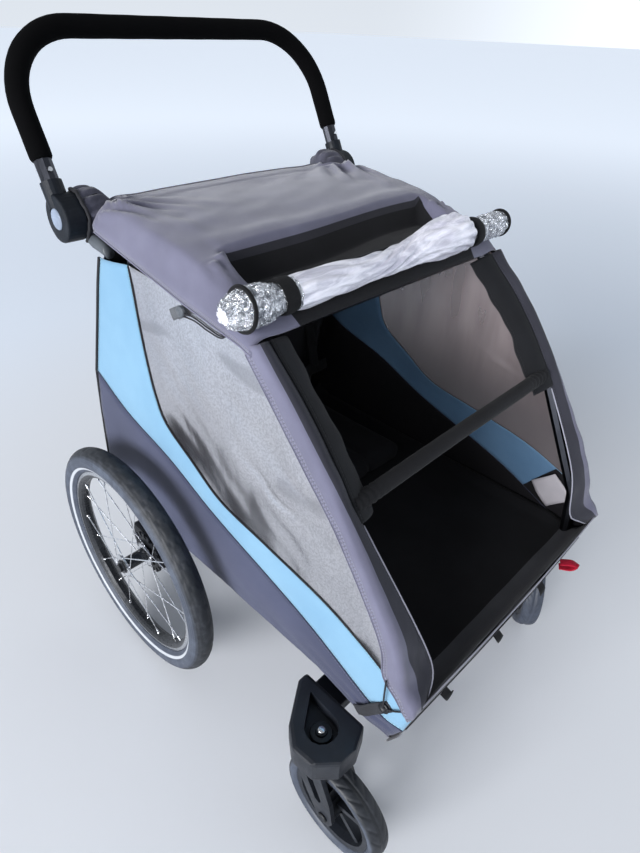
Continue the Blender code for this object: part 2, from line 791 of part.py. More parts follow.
def build_side(side, sign):
    x = sign * SIDE_X
    plate(f"side_panel_{side}", [BLUE_EDGE], CLOTH, "blue_cloth", (x, 0, 0), UPRIGHT)
    plate(f"side_window_{side}", [WINDOW_EDGE], 0.0015, "smoked_film", (x, 0, 0), UPRIGHT)
    rows = []
    for edge, front, inner_x in PILLAR_CLOTH:
        rows.append([
            (x, *edge),
            (x, (edge[0] + 3 * front[0]) / 4, (edge[1] + 3 * front[1]) / 4),
            (sign * (SIDE_X - 0.006), *front),
            (sign * inner_x, *front),
        ])
    sheet(f"pillar_cover_{side}", rows, "violet_grey_cloth")
    flap_rows = []
    for edge, front, inner_x in PILLAR_CLOTH[3:]:
        outer_x = inner_x - 0.002
        flap_rows.append([(sign * outer_x, *front), (sign * (outer_x - FLAP_WIDTH), *front)])
    sheet(f"opening_flap_{side}", flap_rows, "black_cloth", 0.002)


CANOPY_ROWS = [
    # y, half width, skirt z, side z, shoulder z, top z
    (0.100, 0.2550, 0.9080, 0.9140, 0.9210, 0.9240),
    (0.072, 0.2570, 0.9040, 0.9130, 0.9220, 0.9250),
    (0.056, 0.2990, 0.8920, 0.9080, 0.9220, 0.9250),
    (-0.050, 0.2990, 0.8680, 0.8920, 0.9180, 0.9230),
    (-0.136, 0.2990, 0.8480, 0.8760, 0.9080, 0.9160),
    (-0.193, 0.2990, 0.8400, 0.8680, 0.9000, 0.9080),
    (-0.207, 0.2990, 0.8380, 0.8600, 0.8730, 0.8770),
    (-0.250, 0.2990, 0.8330, 0.8500, 0.8560, 0.8580),
    (-0.298, 0.2990, 0.8280, 0.8410, 0.8440, 0.8440),
    (-0.322, 0.2990, 0.8120, 0.8240, 0.8270, 0.8280),
]


def build_canopy():
    rows = []
    for y, half, skirt, side_z, shoulder, top in CANOPY_ROWS:
        right = [
            (0.0, y, top),
            (0.140, y, top - 0.0005),
            (min(0.215, half - 0.03), y, top - 0.0020),
            (half - 0.026, y, shoulder),
            (half - 0.004, y, side_z),
            (half, y, skirt),
        ]
        left = [(-px, py, pz) for px, py, pz in right[:0:-1]]
        rows.append(left + right)
    sheet("canopy", rows, "violet_grey_cloth", 0.0025)


def build_rear_panel():
    rows = []
    for y, z, half in ((0.1525, 0.606, 0.2925), (0.1130, 0.7050, 0.2925), (0.0560, 0.848, 0.290), (0.078, 0.912, 0.245)):
        rows.append([(-half, y, z), (-half / 2, y + 0.004, z), (half / 2, y + 0.004, z), (half, y, z)])
    sheet("rear_panel", rows, "dark_cloth")


def build_seat():
    box("seat_base", (0.470, 0.300, 0.040), (0, -0.070, 0.345), "black_cloth", 0.012)
    lean = (math.radians(11.3), 0, 0)
    box("seat_back", (0.470, 0.030, 0.400), (0, 0.062, 0.585), "black_cloth", 0.010, lean)
    harness = box("harness", (0.400, 0.0022, 0.024), (0, 0.0560, 0.470), "webbing", 0.0, lean)
    for x in (-0.165, -0.075, 0.075, 0.165):
        strap = box("shoulder_strap", (0.022, 0.0021, 0.260), (x, 0, 0.128), None, 0.0, parent=harness)
        cut(harness, strap, "UNION")
    for x in (-0.120, 0.120):
        buckle = box("buckle", (0.044, 0.012, 0.040), (x, -0.004, 0), None, 0.003, parent=harness)
        cut(harness, buckle, "UNION")
        crotch = box("crotch_strap", (0.020, 0.0020, 0.070), (x, 0, -0.045), None, 0.0, parent=harness)
        cut(harness, crotch, "UNION")


def build_rain_cover():
    path = []
    for step in range(17):
        x = -ROLL_END + 2 * ROLL_END * step / 16
        path.append((x, ROLL_Y, ROLL_Z))
    tube("rain_cover_roll", path, ROLL_R, "clear_film", 3)
    for side, sign in SIDES:
        band = [
            (ROLL_R + 0.0030, 0.009),
            (ROLL_R + 0.0030, -0.009),
            (ROLL_R + 0.0006, -0.009),
            (ROLL_R + 0.0006, 0.009),
        ]
        turned(
            f"roll_strap_{side}",
            band,
            "webbing",
            24,
            True,
            (sign * 0.220, ROLL_Y, ROLL_Z),
            (0, math.pi / 2, 0),
        )


def build_corner_hook():
    strap = box("corner_hook", (0.002, 0.046, 0.018), (-0.2986, -0.572, 0.318), "webbing", 0.0, (math.radians(20), 0, 0))
    ring = cylinder("eyelet", 0.0095, (-0.004, -0.014, 0.0), (0.0008, -0.014, 0.0), None, 20, strap)
    cut(strap, ring, "UNION")
    cut(strap, cylinder("eyelet_hole", 0.0035, (-0.008, -0.014, 0.0), (0.008, -0.014, 0.0), None, 12, strap))


build_frame()
build_axle_housings()
build_brake()
build_tub()
build_canopy()
build_rear_panel()
build_seat()
build_rain_cover()
build_corner_hook()
build_hubs()
build_handlebar()
for side_name, side_sign in SIDES:
    build_side(side_name, side_sign)
    build_wheel(side_name, side_sign)
    build_caster_block(side_name, side_sign)
    build_caster(side_name, side_sign)
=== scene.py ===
"""How the child bicycle trailer looks: its cloth, film, webbing and finishes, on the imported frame."""

from math import cos, pi, radians, sin, tan

import bpy
import numpy as np
from mathutils import Matrix, Vector


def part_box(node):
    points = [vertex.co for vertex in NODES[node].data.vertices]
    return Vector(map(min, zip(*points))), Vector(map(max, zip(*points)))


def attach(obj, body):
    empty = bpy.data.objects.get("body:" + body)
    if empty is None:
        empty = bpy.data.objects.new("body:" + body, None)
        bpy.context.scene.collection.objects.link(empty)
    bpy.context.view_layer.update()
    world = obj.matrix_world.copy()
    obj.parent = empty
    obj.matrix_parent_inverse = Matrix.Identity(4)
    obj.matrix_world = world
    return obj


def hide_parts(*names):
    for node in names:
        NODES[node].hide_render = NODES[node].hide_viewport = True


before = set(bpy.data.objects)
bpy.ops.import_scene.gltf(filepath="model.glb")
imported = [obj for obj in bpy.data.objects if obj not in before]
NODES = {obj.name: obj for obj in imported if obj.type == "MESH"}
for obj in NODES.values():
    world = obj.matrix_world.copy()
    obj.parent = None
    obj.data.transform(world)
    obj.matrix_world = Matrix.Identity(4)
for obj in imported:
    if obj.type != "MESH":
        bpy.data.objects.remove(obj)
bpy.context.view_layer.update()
TURN = 2 * pi


def middle(node):
    low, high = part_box(node)
    return (low + high) / 2


# Lengths along y below are measured from the main axle, as in the part's own source.
AXLE = middle("wheel_tyre_left")
Y0 = AXLE.y
SIDE_X = -middle("side_panel_left").x
PIVOT = middle("hub_button_left")
ROLL = middle("rain_cover_roll") + Vector((-0.01, -0.009, -0.005))
SIDES = (("left", -1), ("right", 1))
CASTER_HEADING = {"left": 0.0, "right": radians(-55)}


# ---- curves and grids
def catmull(points, steps=12):
    """A smooth line through the points."""
    p = np.array(points, float)
    p = np.vstack([2 * p[0] - p[1], p, 2 * p[-1] - p[-2]])
    out = []
    t = np.linspace(0, 1, steps, endpoint=False)[:, None]
    for a, b, c, d in zip(p, p[1:], p[2:], p[3:]):
        out.append(
            0.5 * (2 * b + (c - a) * t + (2 * a - 5 * b + 4 * c - d) * t**2 + (3 * b - a - 3 * c + d) * t**3)
        )
    return np.vstack(out + [p[-2][None]])


def resample(line, count):
    """The line at this many equal steps."""
    line = np.asarray(line, float)
    way = np.concatenate([[0], np.cumsum(np.linalg.norm(np.diff(line, axis=0), axis=1))])
    at = np.linspace(0, way[-1], count)
    return np.stack([np.interp(at, way, line[:, axis]) for axis in range(line.shape[1])], axis=1)


def seam(points, count):
    return resample(catmull(points), count)


def waves(points, scale, seed, count=7):
    """Smooth, repeatable unevenness from -1 to 1, with features about scale metres long."""
    random = np.random.RandomState(seed)
    total = 0
    for _ in range(count):
        direction = random.normal(size=3)
        direction *= TURN / scale * random.uniform(0.6, 1.6) / np.linalg.norm(direction)
        total = total + np.sin(np.asarray(points) @ direction + random.uniform(0, TURN))
    return total / count * 1.6


def around(count):
    """This many angles, equally spaced round a circle."""
    return np.linspace(0, TURN, count, endpoint=False)


def smoothstep(value, low, high):
    t = np.clip((np.asarray(value, float) - low) / (high - low), 0, 1)
    return t * t * (3 - 2 * t)


def loft(lines, across):
    """A grid between side-by-side lines of equal count: (along, across, 3)."""
    lines = np.array(lines)
    at = np.linspace(0, len(lines) - 1, across)
    low = np.minimum(at.astype(int), len(lines) - 2)
    share = (at - low)[:, None, None]
    return (lines[low] * (1 - share) + lines[low + 1] * share).transpose(1, 0, 2)


def smooth_loft(lines, across):
    """As loft, but rounded from line to line."""
    lines = np.array(lines)
    return np.stack([seam(lines[:, i], across) for i in range(lines.shape[1])])


def normals(grid):
    along = np.gradient(grid, axis=0)
    across = np.gradient(grid, axis=1)
    normal = np.cross(along, across)
    return normal / np.maximum(np.linalg.norm(normal, axis=2, keepdims=True), 1e-9)


def push(grid, amount):
    return grid + normals(grid) * np.asarray(amount)[..., None]


def crease(grid, a, b, width, axes=(0, 1)):
    """From 0 to 1: how near each point is to the line a-b, fading out at b."""
    p = grid[..., list(axes)]
    a, b = np.array(a, float), np.array(b, float)
    d = b - a
    t = np.clip(((p - a) @ d) / (d @ d), 0, 1)
    off = np.linalg.norm(p - (a + t[..., None] * d), axis=-1)
    return np.exp(-((off / (width * (0.5 + t))) ** 2)) * (1 - t**2)


def tube_grid(path, radius, sides=12):
    """Rings round a path, as a grid (along, round, 3). radius may differ at each point."""
    path = np.array(path, float)
    radius = np.broadcast_to(np.asarray(radius, float), (len(path),))
    tangent = np.gradient(path, axis=0)
    tangent /= np.linalg.norm(tangent, axis=1, keepdims=True)
    reference = np.array([0, 0, 1.0]) if abs(tangent[0][2]) < 0.9 else np.array([1.0, 0, 0])
    side = np.cross(tangent[0], reference)
    rings = []
    angles = around(sides)
    for point, ahead, r in zip(path, tangent, radius):
        side = side - ahead * (side @ ahead)
        side /= np.linalg.norm(side)
        up = np.cross(side, ahead)
        rings.append(point + r * (np.cos(angles)[:, None] * side + np.sin(angles)[:, None] * up))
    return np.array(rings)


# ---- pieces
def linked(name, data):
    """A new object in the scene."""
    obj = bpy.data.objects.new(name, data)
    bpy.context.scene.collection.objects.link(obj)
    return obj


def piece(
    name, grid, materials, body="chassis", thickness=0.0, offset=-1.0, wrap=False, caps=False,
    replaces=(), faces=None, flip=False, inner=None,
):
    """A named piece from a grid of points, with UVs in metres, riding on a body.

    materials are names in M, or a list of materials. faces(i, j) picks one for a quad, and inner is the
    step from it to the one on the inside.
    """
    grid = np.asarray(grid)
    rows, columns = grid.shape[:2]
    points = grid.reshape(-1, 3)
    quads, uvs = [], []
    step_u = np.linalg.norm(np.diff(grid, axis=1), axis=2)
    u = np.concatenate([np.zeros((rows, 1)), np.cumsum(step_u, axis=1)], axis=1)
    step_v = np.linalg.norm(np.diff(grid, axis=0), axis=2).mean(axis=1)
    v = np.concatenate([[0], np.cumsum(step_v)])
    spans = columns if wrap else columns - 1
    width = u[:, -1]
    if wrap:
        width = width + np.linalg.norm(grid[:, 0] - grid[:, -1], axis=1)
    material_index = []
    for i in range(rows - 1):
        for j in range(spans):
            k = (j + 1) % columns
            quad = [(i, j), (i, k), (i + 1, k), (i + 1, j)]
            if flip:
                quad = quad[::-1]
            quads.append([r * columns + c for r, c in quad])
            uvs.append(
                [
                    (width[r] if (wrap and c == 0 and j == columns - 1) else u[r, c], v[r], width[r]) for r,
                    c in quad
                ]
            )
            material_index.append(faces(i, j) if faces else 0)
    if caps and wrap:
        for row in (0, rows - 1):
            ring = [row * columns + c for c in range(columns)]
            if (row == 0) != flip:
                ring = ring[::-1]
            quads.append(ring)
            uvs.append([(u[row, 0], v[row], width[row])] * columns)
            material_index.append(0)
    mesh = bpy.data.meshes.new(name)
    mesh.from_pydata(points.tolist(), [], quads)
    near = mesh.uv_layers.new(name="UVMap")
    far = mesh.uv_layers.new(name="Far")
    flat = [corner for face in uvs for corner in face]
    near.data.foreach_set("uv", np.array([(a, b) for a, b, _ in flat]).ravel())
    far.data.foreach_set("uv", np.array([(w - a, b) for a, b, w in flat]).ravel())
    mesh.polygons.foreach_set("material_index", material_index)
    mesh.polygons.foreach_set("use_smooth", [True] * len(quads))
    if isinstance(materials, str):
        materials = [M[key] for key in materials.split()]
    for material in materials:
        mesh.materials.append(material)
    obj = linked(name, mesh)
    if thickness:
        solid = obj.modifiers.new("thickness", "SOLIDIFY")
        solid.thickness = thickness
        solid.offset = offset
        solid.use_even_offset = False
        if len(materials) > 1 and offset:
            solid.material_offset = inner or len(materials) - 1
    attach(obj, body)
    if replaces:
        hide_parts(*replaces)
    return obj


def cord(name, path, radius, material="piping", body="chassis", sides=8):
    """A round bead, cord or piping along a path."""
    return piece(name, tube_grid(path, radius, sides), material, body, wrap=True, caps=True, flip=True)


def at_axle(points, x):
    """(y, z) points in the part's own measure, as points at this x."""
    points = np.asarray(points, float)
    return np.column_stack([np.full(len(points), float(x)), points[:, 0] + Y0, points[:, 1]])


# ---- finishes
class Graph:
    """A shader's or a world's nodes, written briefly."""

    def __init__(self, owner, shader):
        owner.use_nodes = True
        self.nodes = owner.node_tree.nodes
        self.links = owner.node_tree.links
        self.shader = self.nodes[shader]

    def join(self, socket, value):
        if isinstance(value, bpy.types.NodeSocket):
            self.links.new(value, socket)
        elif value is not None:
            if socket.type == "RGBA" and len(value) == 3:
                value = (*value, 1.0)
            socket.default_value = value

    def set(self, socket, value):
        self.join(self.shader.inputs[socket], value)
        return self

    def new(self, kind, values=(), **settings):
        node = self.nodes.new("ShaderNode" + kind)
        for key, value in settings.items():
            setattr(node, key, value)
        for socket, value in zip(node.inputs, values):
            self.join(socket, value)
        return node

    def math(self, operation, *values):
        return self.new("Math", values, operation=operation).outputs[0]

    def add(self, *values):
        return self.math("ADD", *values)

    def times(self, *values):
        return self.math("MULTIPLY", *values)

    def wave(self, value, pitch):
        return self.math("SINE", self.times(value, TURN / pitch))

    def ramp(self, value, low, high, start=0.0, end=1.0):
        return self.new(
            "MapRange", (value, low, high, start, end), interpolation_type="SMOOTHSTEP"
        ).outputs[0]


class Finish(Graph):
    """A node material on a Principled shader."""

    def __init__(self, name, **fixed):
        self.material = bpy.data.materials.new(name)
        super().__init__(self.material, "Principled BSDF")
        for socket, value in fixed.items():
            self.set(socket.replace("_", " "), value)

    def where(self):
        return self.new("TexCoord").outputs["Object"]

    def from_point(self, point):
        """The place seen from a point, as three sockets."""
        moved = self.new("VectorMath", (self.where(), tuple(point)), operation="SUBTRACT").outputs[0]
        return self.new("SeparateXYZ", (moved,)).outputs

    def radius(self, centre, axes=(1, 2)):
        """The distance from a line through the centre, which runs along the third axis."""
        split = self.from_point(centre)
        return self.math("SQRT", self.add(*(self.times(split[axis], split[axis]) for axis in axes)))

    def uv(self, layer="UVMap"):
        split = self.new("SeparateXYZ", (self.new("UVMap", uv_map=layer).outputs[0],)).outputs
        return split[0], split[1]

    def noise(self, scale, detail=3.0, rough=0.5, stretch=None, distortion=0.0):
        vector = self.where()
        if stretch:
            vector = self.new("VectorMath", (vector, stretch), operation="MULTIPLY").outputs[0]
        node = self.new("TexNoise")
        self.join(node.inputs["Vector"], vector)
        for socket, value in (
            ("Scale", scale), ("Detail", detail), ("Roughness", rough), ("Distortion", distortion)
        ):
            node.inputs[socket].default_value = value
        return node.outputs["Fac"]

    def mix(self, share, a, b):
        node = self.new("Mix", data_type="RGBA")
        for index, value in ((0, share), (6, a), (7, b)):
            self.join(node.inputs[index], value)
        return node.outputs[2]

    def bump(self, height, distance, strength=1.0, normal=None):
        node = self.new("Bump")
        node.inputs["Strength"].default_value = strength
        node.inputs["Distance"].default_value = distance
        self.join(node.inputs["Height"], height)
        if normal is not None:
            self.join(node.inputs["Normal"], normal)
        return node.outputs[0]

    def line(self, value, at, half):
        """1 within half of at, fading over half again."""
        off = self.math("ABSOLUTE", self.math("SUBTRACT", value, at))
        return self.ramp(off, half, half * 1.5, 1.0, 0.0)


def fabric(name, dark, light, pitch=0.0016, roughness=0.85, sheen=0.25, stitches=(), blotch=7.0, thread=None):
    """Woven cloth: two close tones in blotches and threads, a weave in relief, and rows of stitches.

    A stitch row is (UV layer, distance from that edge in metres).
    """
    f = Finish(
        name, Roughness=roughness, Sheen_Weight=sheen, Sheen_Roughness=0.45, Sheen_Tint=(1, 1, 1),
        Specular_IOR_Level=0.25
    )
    u, v = f.uv()
    height = f.times(f.wave(u, pitch), f.wave(v, pitch))
    tone = f.ramp(f.noise(blotch, 4, 0.6), 0.32, 0.68)
    slub = f.noise(420, 2, 0.6)
    share = f.add(f.times(tone, 0.65), f.times(slub, 0.35))
    colour = f.mix(share, dark, light)
    # Lighter on the weave's raised threads, following its relief.
    crest_lighter = f.times(f.add(height, 1.0), 0.12)
    colour = f.mix(crest_lighter, colour, scaled(light, 1.5, 0.004))
    relief = f.bump(f.add(height, f.times(slub, 0.8)), 0.0003, 0.35)
    total = None
    for layer, distance in stitches:
        a, b = f.uv(layer)
        dash = f.ramp(f.math("FRACT", f.math("DIVIDE", b, 0.0052)), 0.62, 0.72, 1.0, 0.0)
        row = f.line(a, distance, 0.0007)
        furrow = f.line(a, distance, 0.0016)
        mark = f.times(row, dash)
        # The furrow beside each stitch row is painted darker: painted shade in the sewn groove.
        colour = f.mix(f.times(furrow, 0.45), colour, scaled(dark, 0.45))
        colour = f.mix(f.times(mark, 0.85), colour, thread or scaled(light, 1.7))
        part = f.math("SUBTRACT", mark, furrow)
        total = part if total is None else f.add(total, part)
    if total is not None:
        relief = f.bump(total, 0.0009, 0.8, relief)
    f.set("Base Color", colour).set("Normal", relief)
    return f.material


def scaled(colour, factor, extra=0.0):
    return tuple(min(1, c * factor + extra) for c in colour)


def webbing_finish(name, colour, pitch=0.0022):
    """Flat woven tape: ribs across it, and a twill over them."""
    f = Finish(name, Roughness=0.75, Sheen_Weight=0.03, Specular_IOR_Level=0.18)
    u, v = f.uv()
    rib = f.wave(v, pitch)
    cross = f.math("SINE", f.add(f.times(u, TURN / pitch), f.times(rib, 1.2)))
    tone = f.add(f.times(f.noise(60, 3), 0.6), f.times(cross, 0.15))
    f.set("Base Color", f.mix(tone, scaled(colour, 0.6), scaled(colour, 1.6)))
    f.set("Normal", f.bump(f.add(rib, cross), 0.0004, 0.6))
    return f.material


def plastic(name, colour, roughness=0.42, grain=0.35, specular=0.4):
    """Moulded plastic: fine spark-eroded grain, faint mottling and pale scuffs."""
    f = Finish(name, Specular_IOR_Level=specular)
    mottle = f.ramp(f.noise(22, 5, 0.6), 0.3, 0.75)
    scuff = f.ramp(f.noise(160, 4, 0.7, stretch=(1, 0.25, 1)), 0.6, 0.72)
    body = f.mix(mottle, scaled(colour, 0.8), scaled(colour, 1.25))
    f.set("Base Color", f.mix(f.times(scuff, 0.25), body, scaled(colour, 2.6, 0.01)))
    f.set("Roughness", f.ramp(f.noise(35, 3), 0.3, 0.7, roughness * 0.85, roughness * 1.2))
    f.set("Normal", f.bump(f.noise(900, 2, 0.6), 0.0004, grain))
    return f.material


def metal(name, colour, roughness, brushed, grain=0.08):
    """Metal with fine lines, along the axis that brushed stretches."""
    f = Finish(name, Metallic=1.0)
    lines = f.noise(60, 4, 0.6, stretch=brushed)
    f.set("Base Color", f.mix(lines, scaled(colour, 0.78), scaled(colour, 1.12)))
    f.set("Roughness", f.ramp(lines, 0.25, 0.75, roughness * 0.8, roughness * 1.35))
    f.set("Normal", f.bump(lines, 0.0002, grain))
    return f.material


def both_edges(distance):
    """Stitch rows this far in from a piece's two long edges."""
    return ("UVMap", distance), ("Far", distance)


VIOLET = ((0.084, 0.083, 0.123), (0.132, 0.131, 0.188))
M = {
    "canopy": fabric("cloth_violet_grey", *VIOLET, sheen=0.35, stitches=both_edges(0.006)),
    # A darker copy of the canopy cloth: painted shade for the band where the roof's front edge rolls down
    # into the recess.
    "canopy_shade": fabric("cloth_violet_painted_shade", (0.013, 0.013, 0.018), (0.024, 0.024, 0.032), sheen=0.1),
    # The canopy cloth painted darker: painted shade over the pleats gathered round the hubs.
    "gather": fabric("cloth_gather", (0.02, 0.02, 0.03), (0.075, 0.075, 0.105), sheen=0.2, blotch=30),
    "pillar": fabric("cloth_pillar", *VIOLET, sheen=0.3, stitches=(("UVMap", 0.004), ("UVMap", 0.009))),
    # The pillar cloth painted darker: painted shade on each pillar's inner part, which turns away from the
    # light.
    "pillar_dark": fabric(
        "cloth_pillar_painted_shade", (0.019, 0.019, 0.026), (0.034, 0.034, 0.046), sheen=0.1,
        stitches=(("Far", 0.005),)
    ),
    "tub": fabric(
        "cloth_tub", (0.028, 0.032, 0.062), (0.046, 0.052, 0.093), sheen=0.25,
        stitches=both_edges(0.005)
    ),
    "black": fabric(
        "cloth_black", (0.0035, 0.0035, 0.0045), (0.009, 0.009, 0.011), sheen=0.05, roughness=0.92
    ),
    "lip": fabric(
        "cloth_lip", (0.042, 0.042, 0.049), (0.072, 0.072, 0.08), sheen=0.1,
        stitches=both_edges(0.006)
    ),
    "liner": fabric("cloth_liner", (0.003, 0.003, 0.004), (0.007, 0.006, 0.008), sheen=0.02, roughness=0.95),
    "flap": fabric(
        "cloth_flap", (0.003, 0.0032, 0.0042), (0.0075, 0.008, 0.0105), sheen=0.04, roughness=0.75,
        stitches=both_edges(0.004)
    ),
    "blue": fabric(
        "cloth_blue", (0.122, 0.24, 0.355), (0.17, 0.305, 0.42), sheen=0.15,
        stitches=both_edges(0.004), thread=(0.3, 0.6, 0.75), blotch=5
    ),
    "blue_inside": fabric("cloth_blue_inside", (0.062, 0.125, 0.215), (0.092, 0.175, 0.285), sheen=0.05),
    "piping": fabric(
        "piping_black", (0.006, 0.006, 0.008), (0.016, 0.016, 0.02), sheen=0.05, roughness=0.6, pitch=0.0012
    ),
    "piping_light": fabric("piping_grey", (0.2, 0.2, 0.25), (0.34, 0.34, 0.4), roughness=0.6, pitch=0.0012),
    "webbing": webbing_finish("webbing_black", (0.005, 0.005, 0.006)),
    "webbing_grey": webbing_finish("webbing_grey", (0.1, 0.105, 0.115)),
    "webbing_charcoal": webbing_finish("webbing_charcoal", (0.03, 0.031, 0.036)),
    "webbing_red": webbing_finish("webbing_red", (0.52, 0.01, 0.04)),
    "black_plastic": plastic("plastic_black", (0.006, 0.007, 0.009), 0.42),
    "grey_plastic": plastic("plastic_charcoal", (0.009, 0.011, 0.016), 0.46),
    "hub_plastic": plastic("plastic_hub", (0.004, 0.006, 0.01), 0.5, specular=0.22),
    "button_grey": plastic("plastic_button", (0.2, 0.24, 0.31), 0.45, 0.2),
    "end_piece": plastic("plastic_end_piece", (0.06, 0.068, 0.078), 0.45, 0.2),
    "frame_grey": metal("painted_tube", (0.045, 0.047, 0.056), 0.33, (1, 1, 0.2), 0.05),
    "steel": metal("steel_bright", (0.74, 0.75, 0.77), 0.22, (1, 1, 8)),
}

# ---- seams shared by the cloth panels
REAR_EDGE = [(0.058, 0.846), (0.08, 0.795), (0.105, 0.729), (0.129, 0.667), (0.1535, 0.603)]
TUB_SEAM = [
    (0.1535, 0.603), (0.053, 0.551), (-0.076, 0.514), (-0.207, 0.46), (-0.419, 0.394), (-0.567, 0.329),
    (-0.626, 0.318)
]
WINDOW_SEAM = [
    (-0.032, 0.857), (-0.036, 0.81), (-0.04, 0.755), (-0.048, 0.69), (-0.06, 0.635), (-0.082, 0.592),
    (-0.15, 0.549), (-0.225, 0.507), (-0.34, 0.488), (-0.461, 0.468), (-0.54, 0.442), (-0.588, 0.42)
]
REAR_DOWN = [(0.1535, 0.603), (0.166, 0.51), (0.176, 0.41), (0.1795, 0.33)]
SKIRT_SEAM = [(-0.032, 0.857), (-0.13, 0.851), (-0.23, 0.838), (-0.308, 0.823)]
PILLAR_SEAM = [(-0.308, 0.823), (-0.396, 0.724), (-0.491, 0.614), (-0.573, 0.487), (-0.588, 0.42)]

# Folds in the window film: from, to, depth.
STREAKS = (
    ((-0.346, 0.612), (-0.466, 0.588), 0.0026), ((-0.392, 0.657), (-0.467, 0.622), 0.0026),
    ((-0.3, 0.64), (-0.4, 0.6), 0.0018)
)


def film_finish():
    """The window: a clear smoked film that mirrors the room outside and shows brown from inside."""
    out = Finish("film_outside", Metallic=1.0, IOR=1.5)
    cloudy = out.ramp(out.noise(5, 3, 0.6), 0.3, 0.7)
    # Fine darker speckle in the film's colour: a painted reflection of a speckled floor.
    grain = out.ramp(out.noise(300, 2, 0.8), 0.42, 0.6)
    tone = out.mix(cloudy, (0.78, 0.775, 0.8), (0.85, 0.85, 0.875))
    # Darker streaks in the film's colour: painted shade along its folds.
    painted_streak_shade = out.ramp(out.noise(15, 2, 0.4, stretch=(0.3, 0.35, 1.0)), 0.66, 0.74)
    tone = out.mix(out.times(painted_streak_shade, 0.45), tone, (0.3, 0.3, 0.33))
    out.set("Base Color", out.mix(out.times(grain, 0.6), tone, (0.5, 0.5, 0.54)))
    out.set("Roughness", out.ramp(cloudy, 0, 1, 0.16, 0.24))
    out.set("Alpha", out.ramp(cloudy, 0, 1, 0.74, 0.78))
    out.set("Normal", out.bump(out.noise(14, 3, 0.5, stretch=(1, 1, 0.5)), 0.004, 0.5))
    inside = Finish("film_inside", Roughness=0.5)
    # Soft folds painted as darker and lighter streaks in the brown: painted shade and light along them.
    painted_fold_shading = inside.ramp(inside.noise(7, 3, 0.5, stretch=(1, 2.5, 0.6)), 0.3, 0.7)
    # Darker towards the bottom, as painted shade on the film's lower part, and more opaque there.
    low = inside.ramp(inside.from_point((0, 0, 0.66))[2], -0.16, 0.12, 1.0, 0.0)
    tone = inside.mix(painted_fold_shading, (0.24, 0.175, 0.17), (0.42, 0.33, 0.325))
    inside.set("Base Color", inside.mix(low, tone, (0.095, 0.078, 0.082)))
    inside.set("Alpha", inside.ramp(low, 0, 1, 0.54, 0.8))
    inside.set("Normal", inside.bump(inside.noise(9, 1, 0.4, stretch=(1, 2, 0.4)), 0.002, 0.15))
    return [out.material, inside.material]


FILM = film_finish()

# ---- side cloth
for side, sign in SIDES:
    flip = sign > 0

    # Blue panel, between the rear edge with the tub's seam and the window's seam.
    rear = seam(REAR_EDGE, 24)
    low = seam(TUB_SEAM, 90)[1:]
    window = catmull(WINDOW_SEAM)
    split = int(np.argmin(np.linalg.norm(window - np.array((-0.052, 0.662)), axis=1)))
    upper = resample(window[: split + 1], 24)
    lower = resample(np.vstack([window[split:], [(-0.616, 0.392), (-0.638, 0.366)]]), 90)[1:]
    grid = loft(
        [at_axle(np.vstack([rear, low]), sign * SIDE_X), at_axle(np.vstack([upper, lower]), sign * SIDE_X)],
        15
    )
    s = np.linspace(0, 1, 15)[None, :]
    swell = np.sin(pi * s) * 0.0035
    along = grid[..., 1] - Y0
    wrinkle = (waves(grid, 0.07, 3) * 0.0012 + waves(grid, 0.025, 4) * 0.0005) * np.sin(pi * s)
    grid[..., 0] += sign * (swell + wrinkle)
    grid[..., 0] *= 1 - 0.028 * smoothstep(-along, 0.595, 0.645)
    piece(
        f"blue_panel_{side}", grid, "blue blue_inside blue liner", thickness=0.0016, inner=1,
        faces=lambda i, j: 2 if i > 95 else 0, replaces=[f"side_panel_{side}"], flip=not flip
    )

    # Window film.
    seam_low = resample(catmull(WINDOW_SEAM), 90)
    skirt = resample(catmull(SKIRT_SEAM), 34)
    pillar = resample(catmull(PILLAR_SEAM), 57)[1:]
    top = np.vstack([skirt, pillar])
    grid = loft([at_axle(seam_low, sign * SIDE_X), at_axle(top, sign * SIDE_X)], 46)
    s = np.linspace(0, 1, 46)[None, :]
    t = np.linspace(0, 1, 90)[:, None]
    rise = np.sin(pi * s) * np.sin(pi * t) ** 0.6
    y = grid[..., 1] - Y0
    z = grid[..., 2]
    folds = 0.0022 * np.sin((y * 0.9 + z * 0.25) * 62 + 1.1 * np.sin(z * 11)) * smoothstep(-y, 0.1, 0.42)
    folds += 0.002 * waves(grid, 0.16, 21) + 0.0008 * waves(grid, 0.05, 22)
    for (ya, za), (yb, zb), depth in STREAKS:
        folds -= depth * crease(grid, (ya + Y0, za), (yb + Y0, zb), 0.006, (1, 2))
    grid[..., 0] += sign * rise * (0.0045 + folds)
    piece(
        f"window_film_{side}", grid, FILM, thickness=0.0008,
        replaces=[f"side_window_{side}"], flip=not flip
    )

    # Sewn bindings over the seams.
    x = sign * (SIDE_X + 0.0008)
    cord(f"window_binding_{side}", at_axle(seam_low, x), 0.0015)
    cord(
        f"rear_binding_{side}",
        at_axle(np.vstack([seam(REAR_EDGE, 16), seam(REAR_DOWN + [(0.18, 0.292)], 16)[1:]]), x), 0.003
    )
    tub_line = at_axle(seam(TUB_SEAM, 70), x)
    tub_line[:, 0] *= 1 - 0.024 * smoothstep(Y0 - tub_line[:, 1], 0.59, 0.64)
    cord(f"tub_seam_{side}", tub_line, 0.0013, "tub")

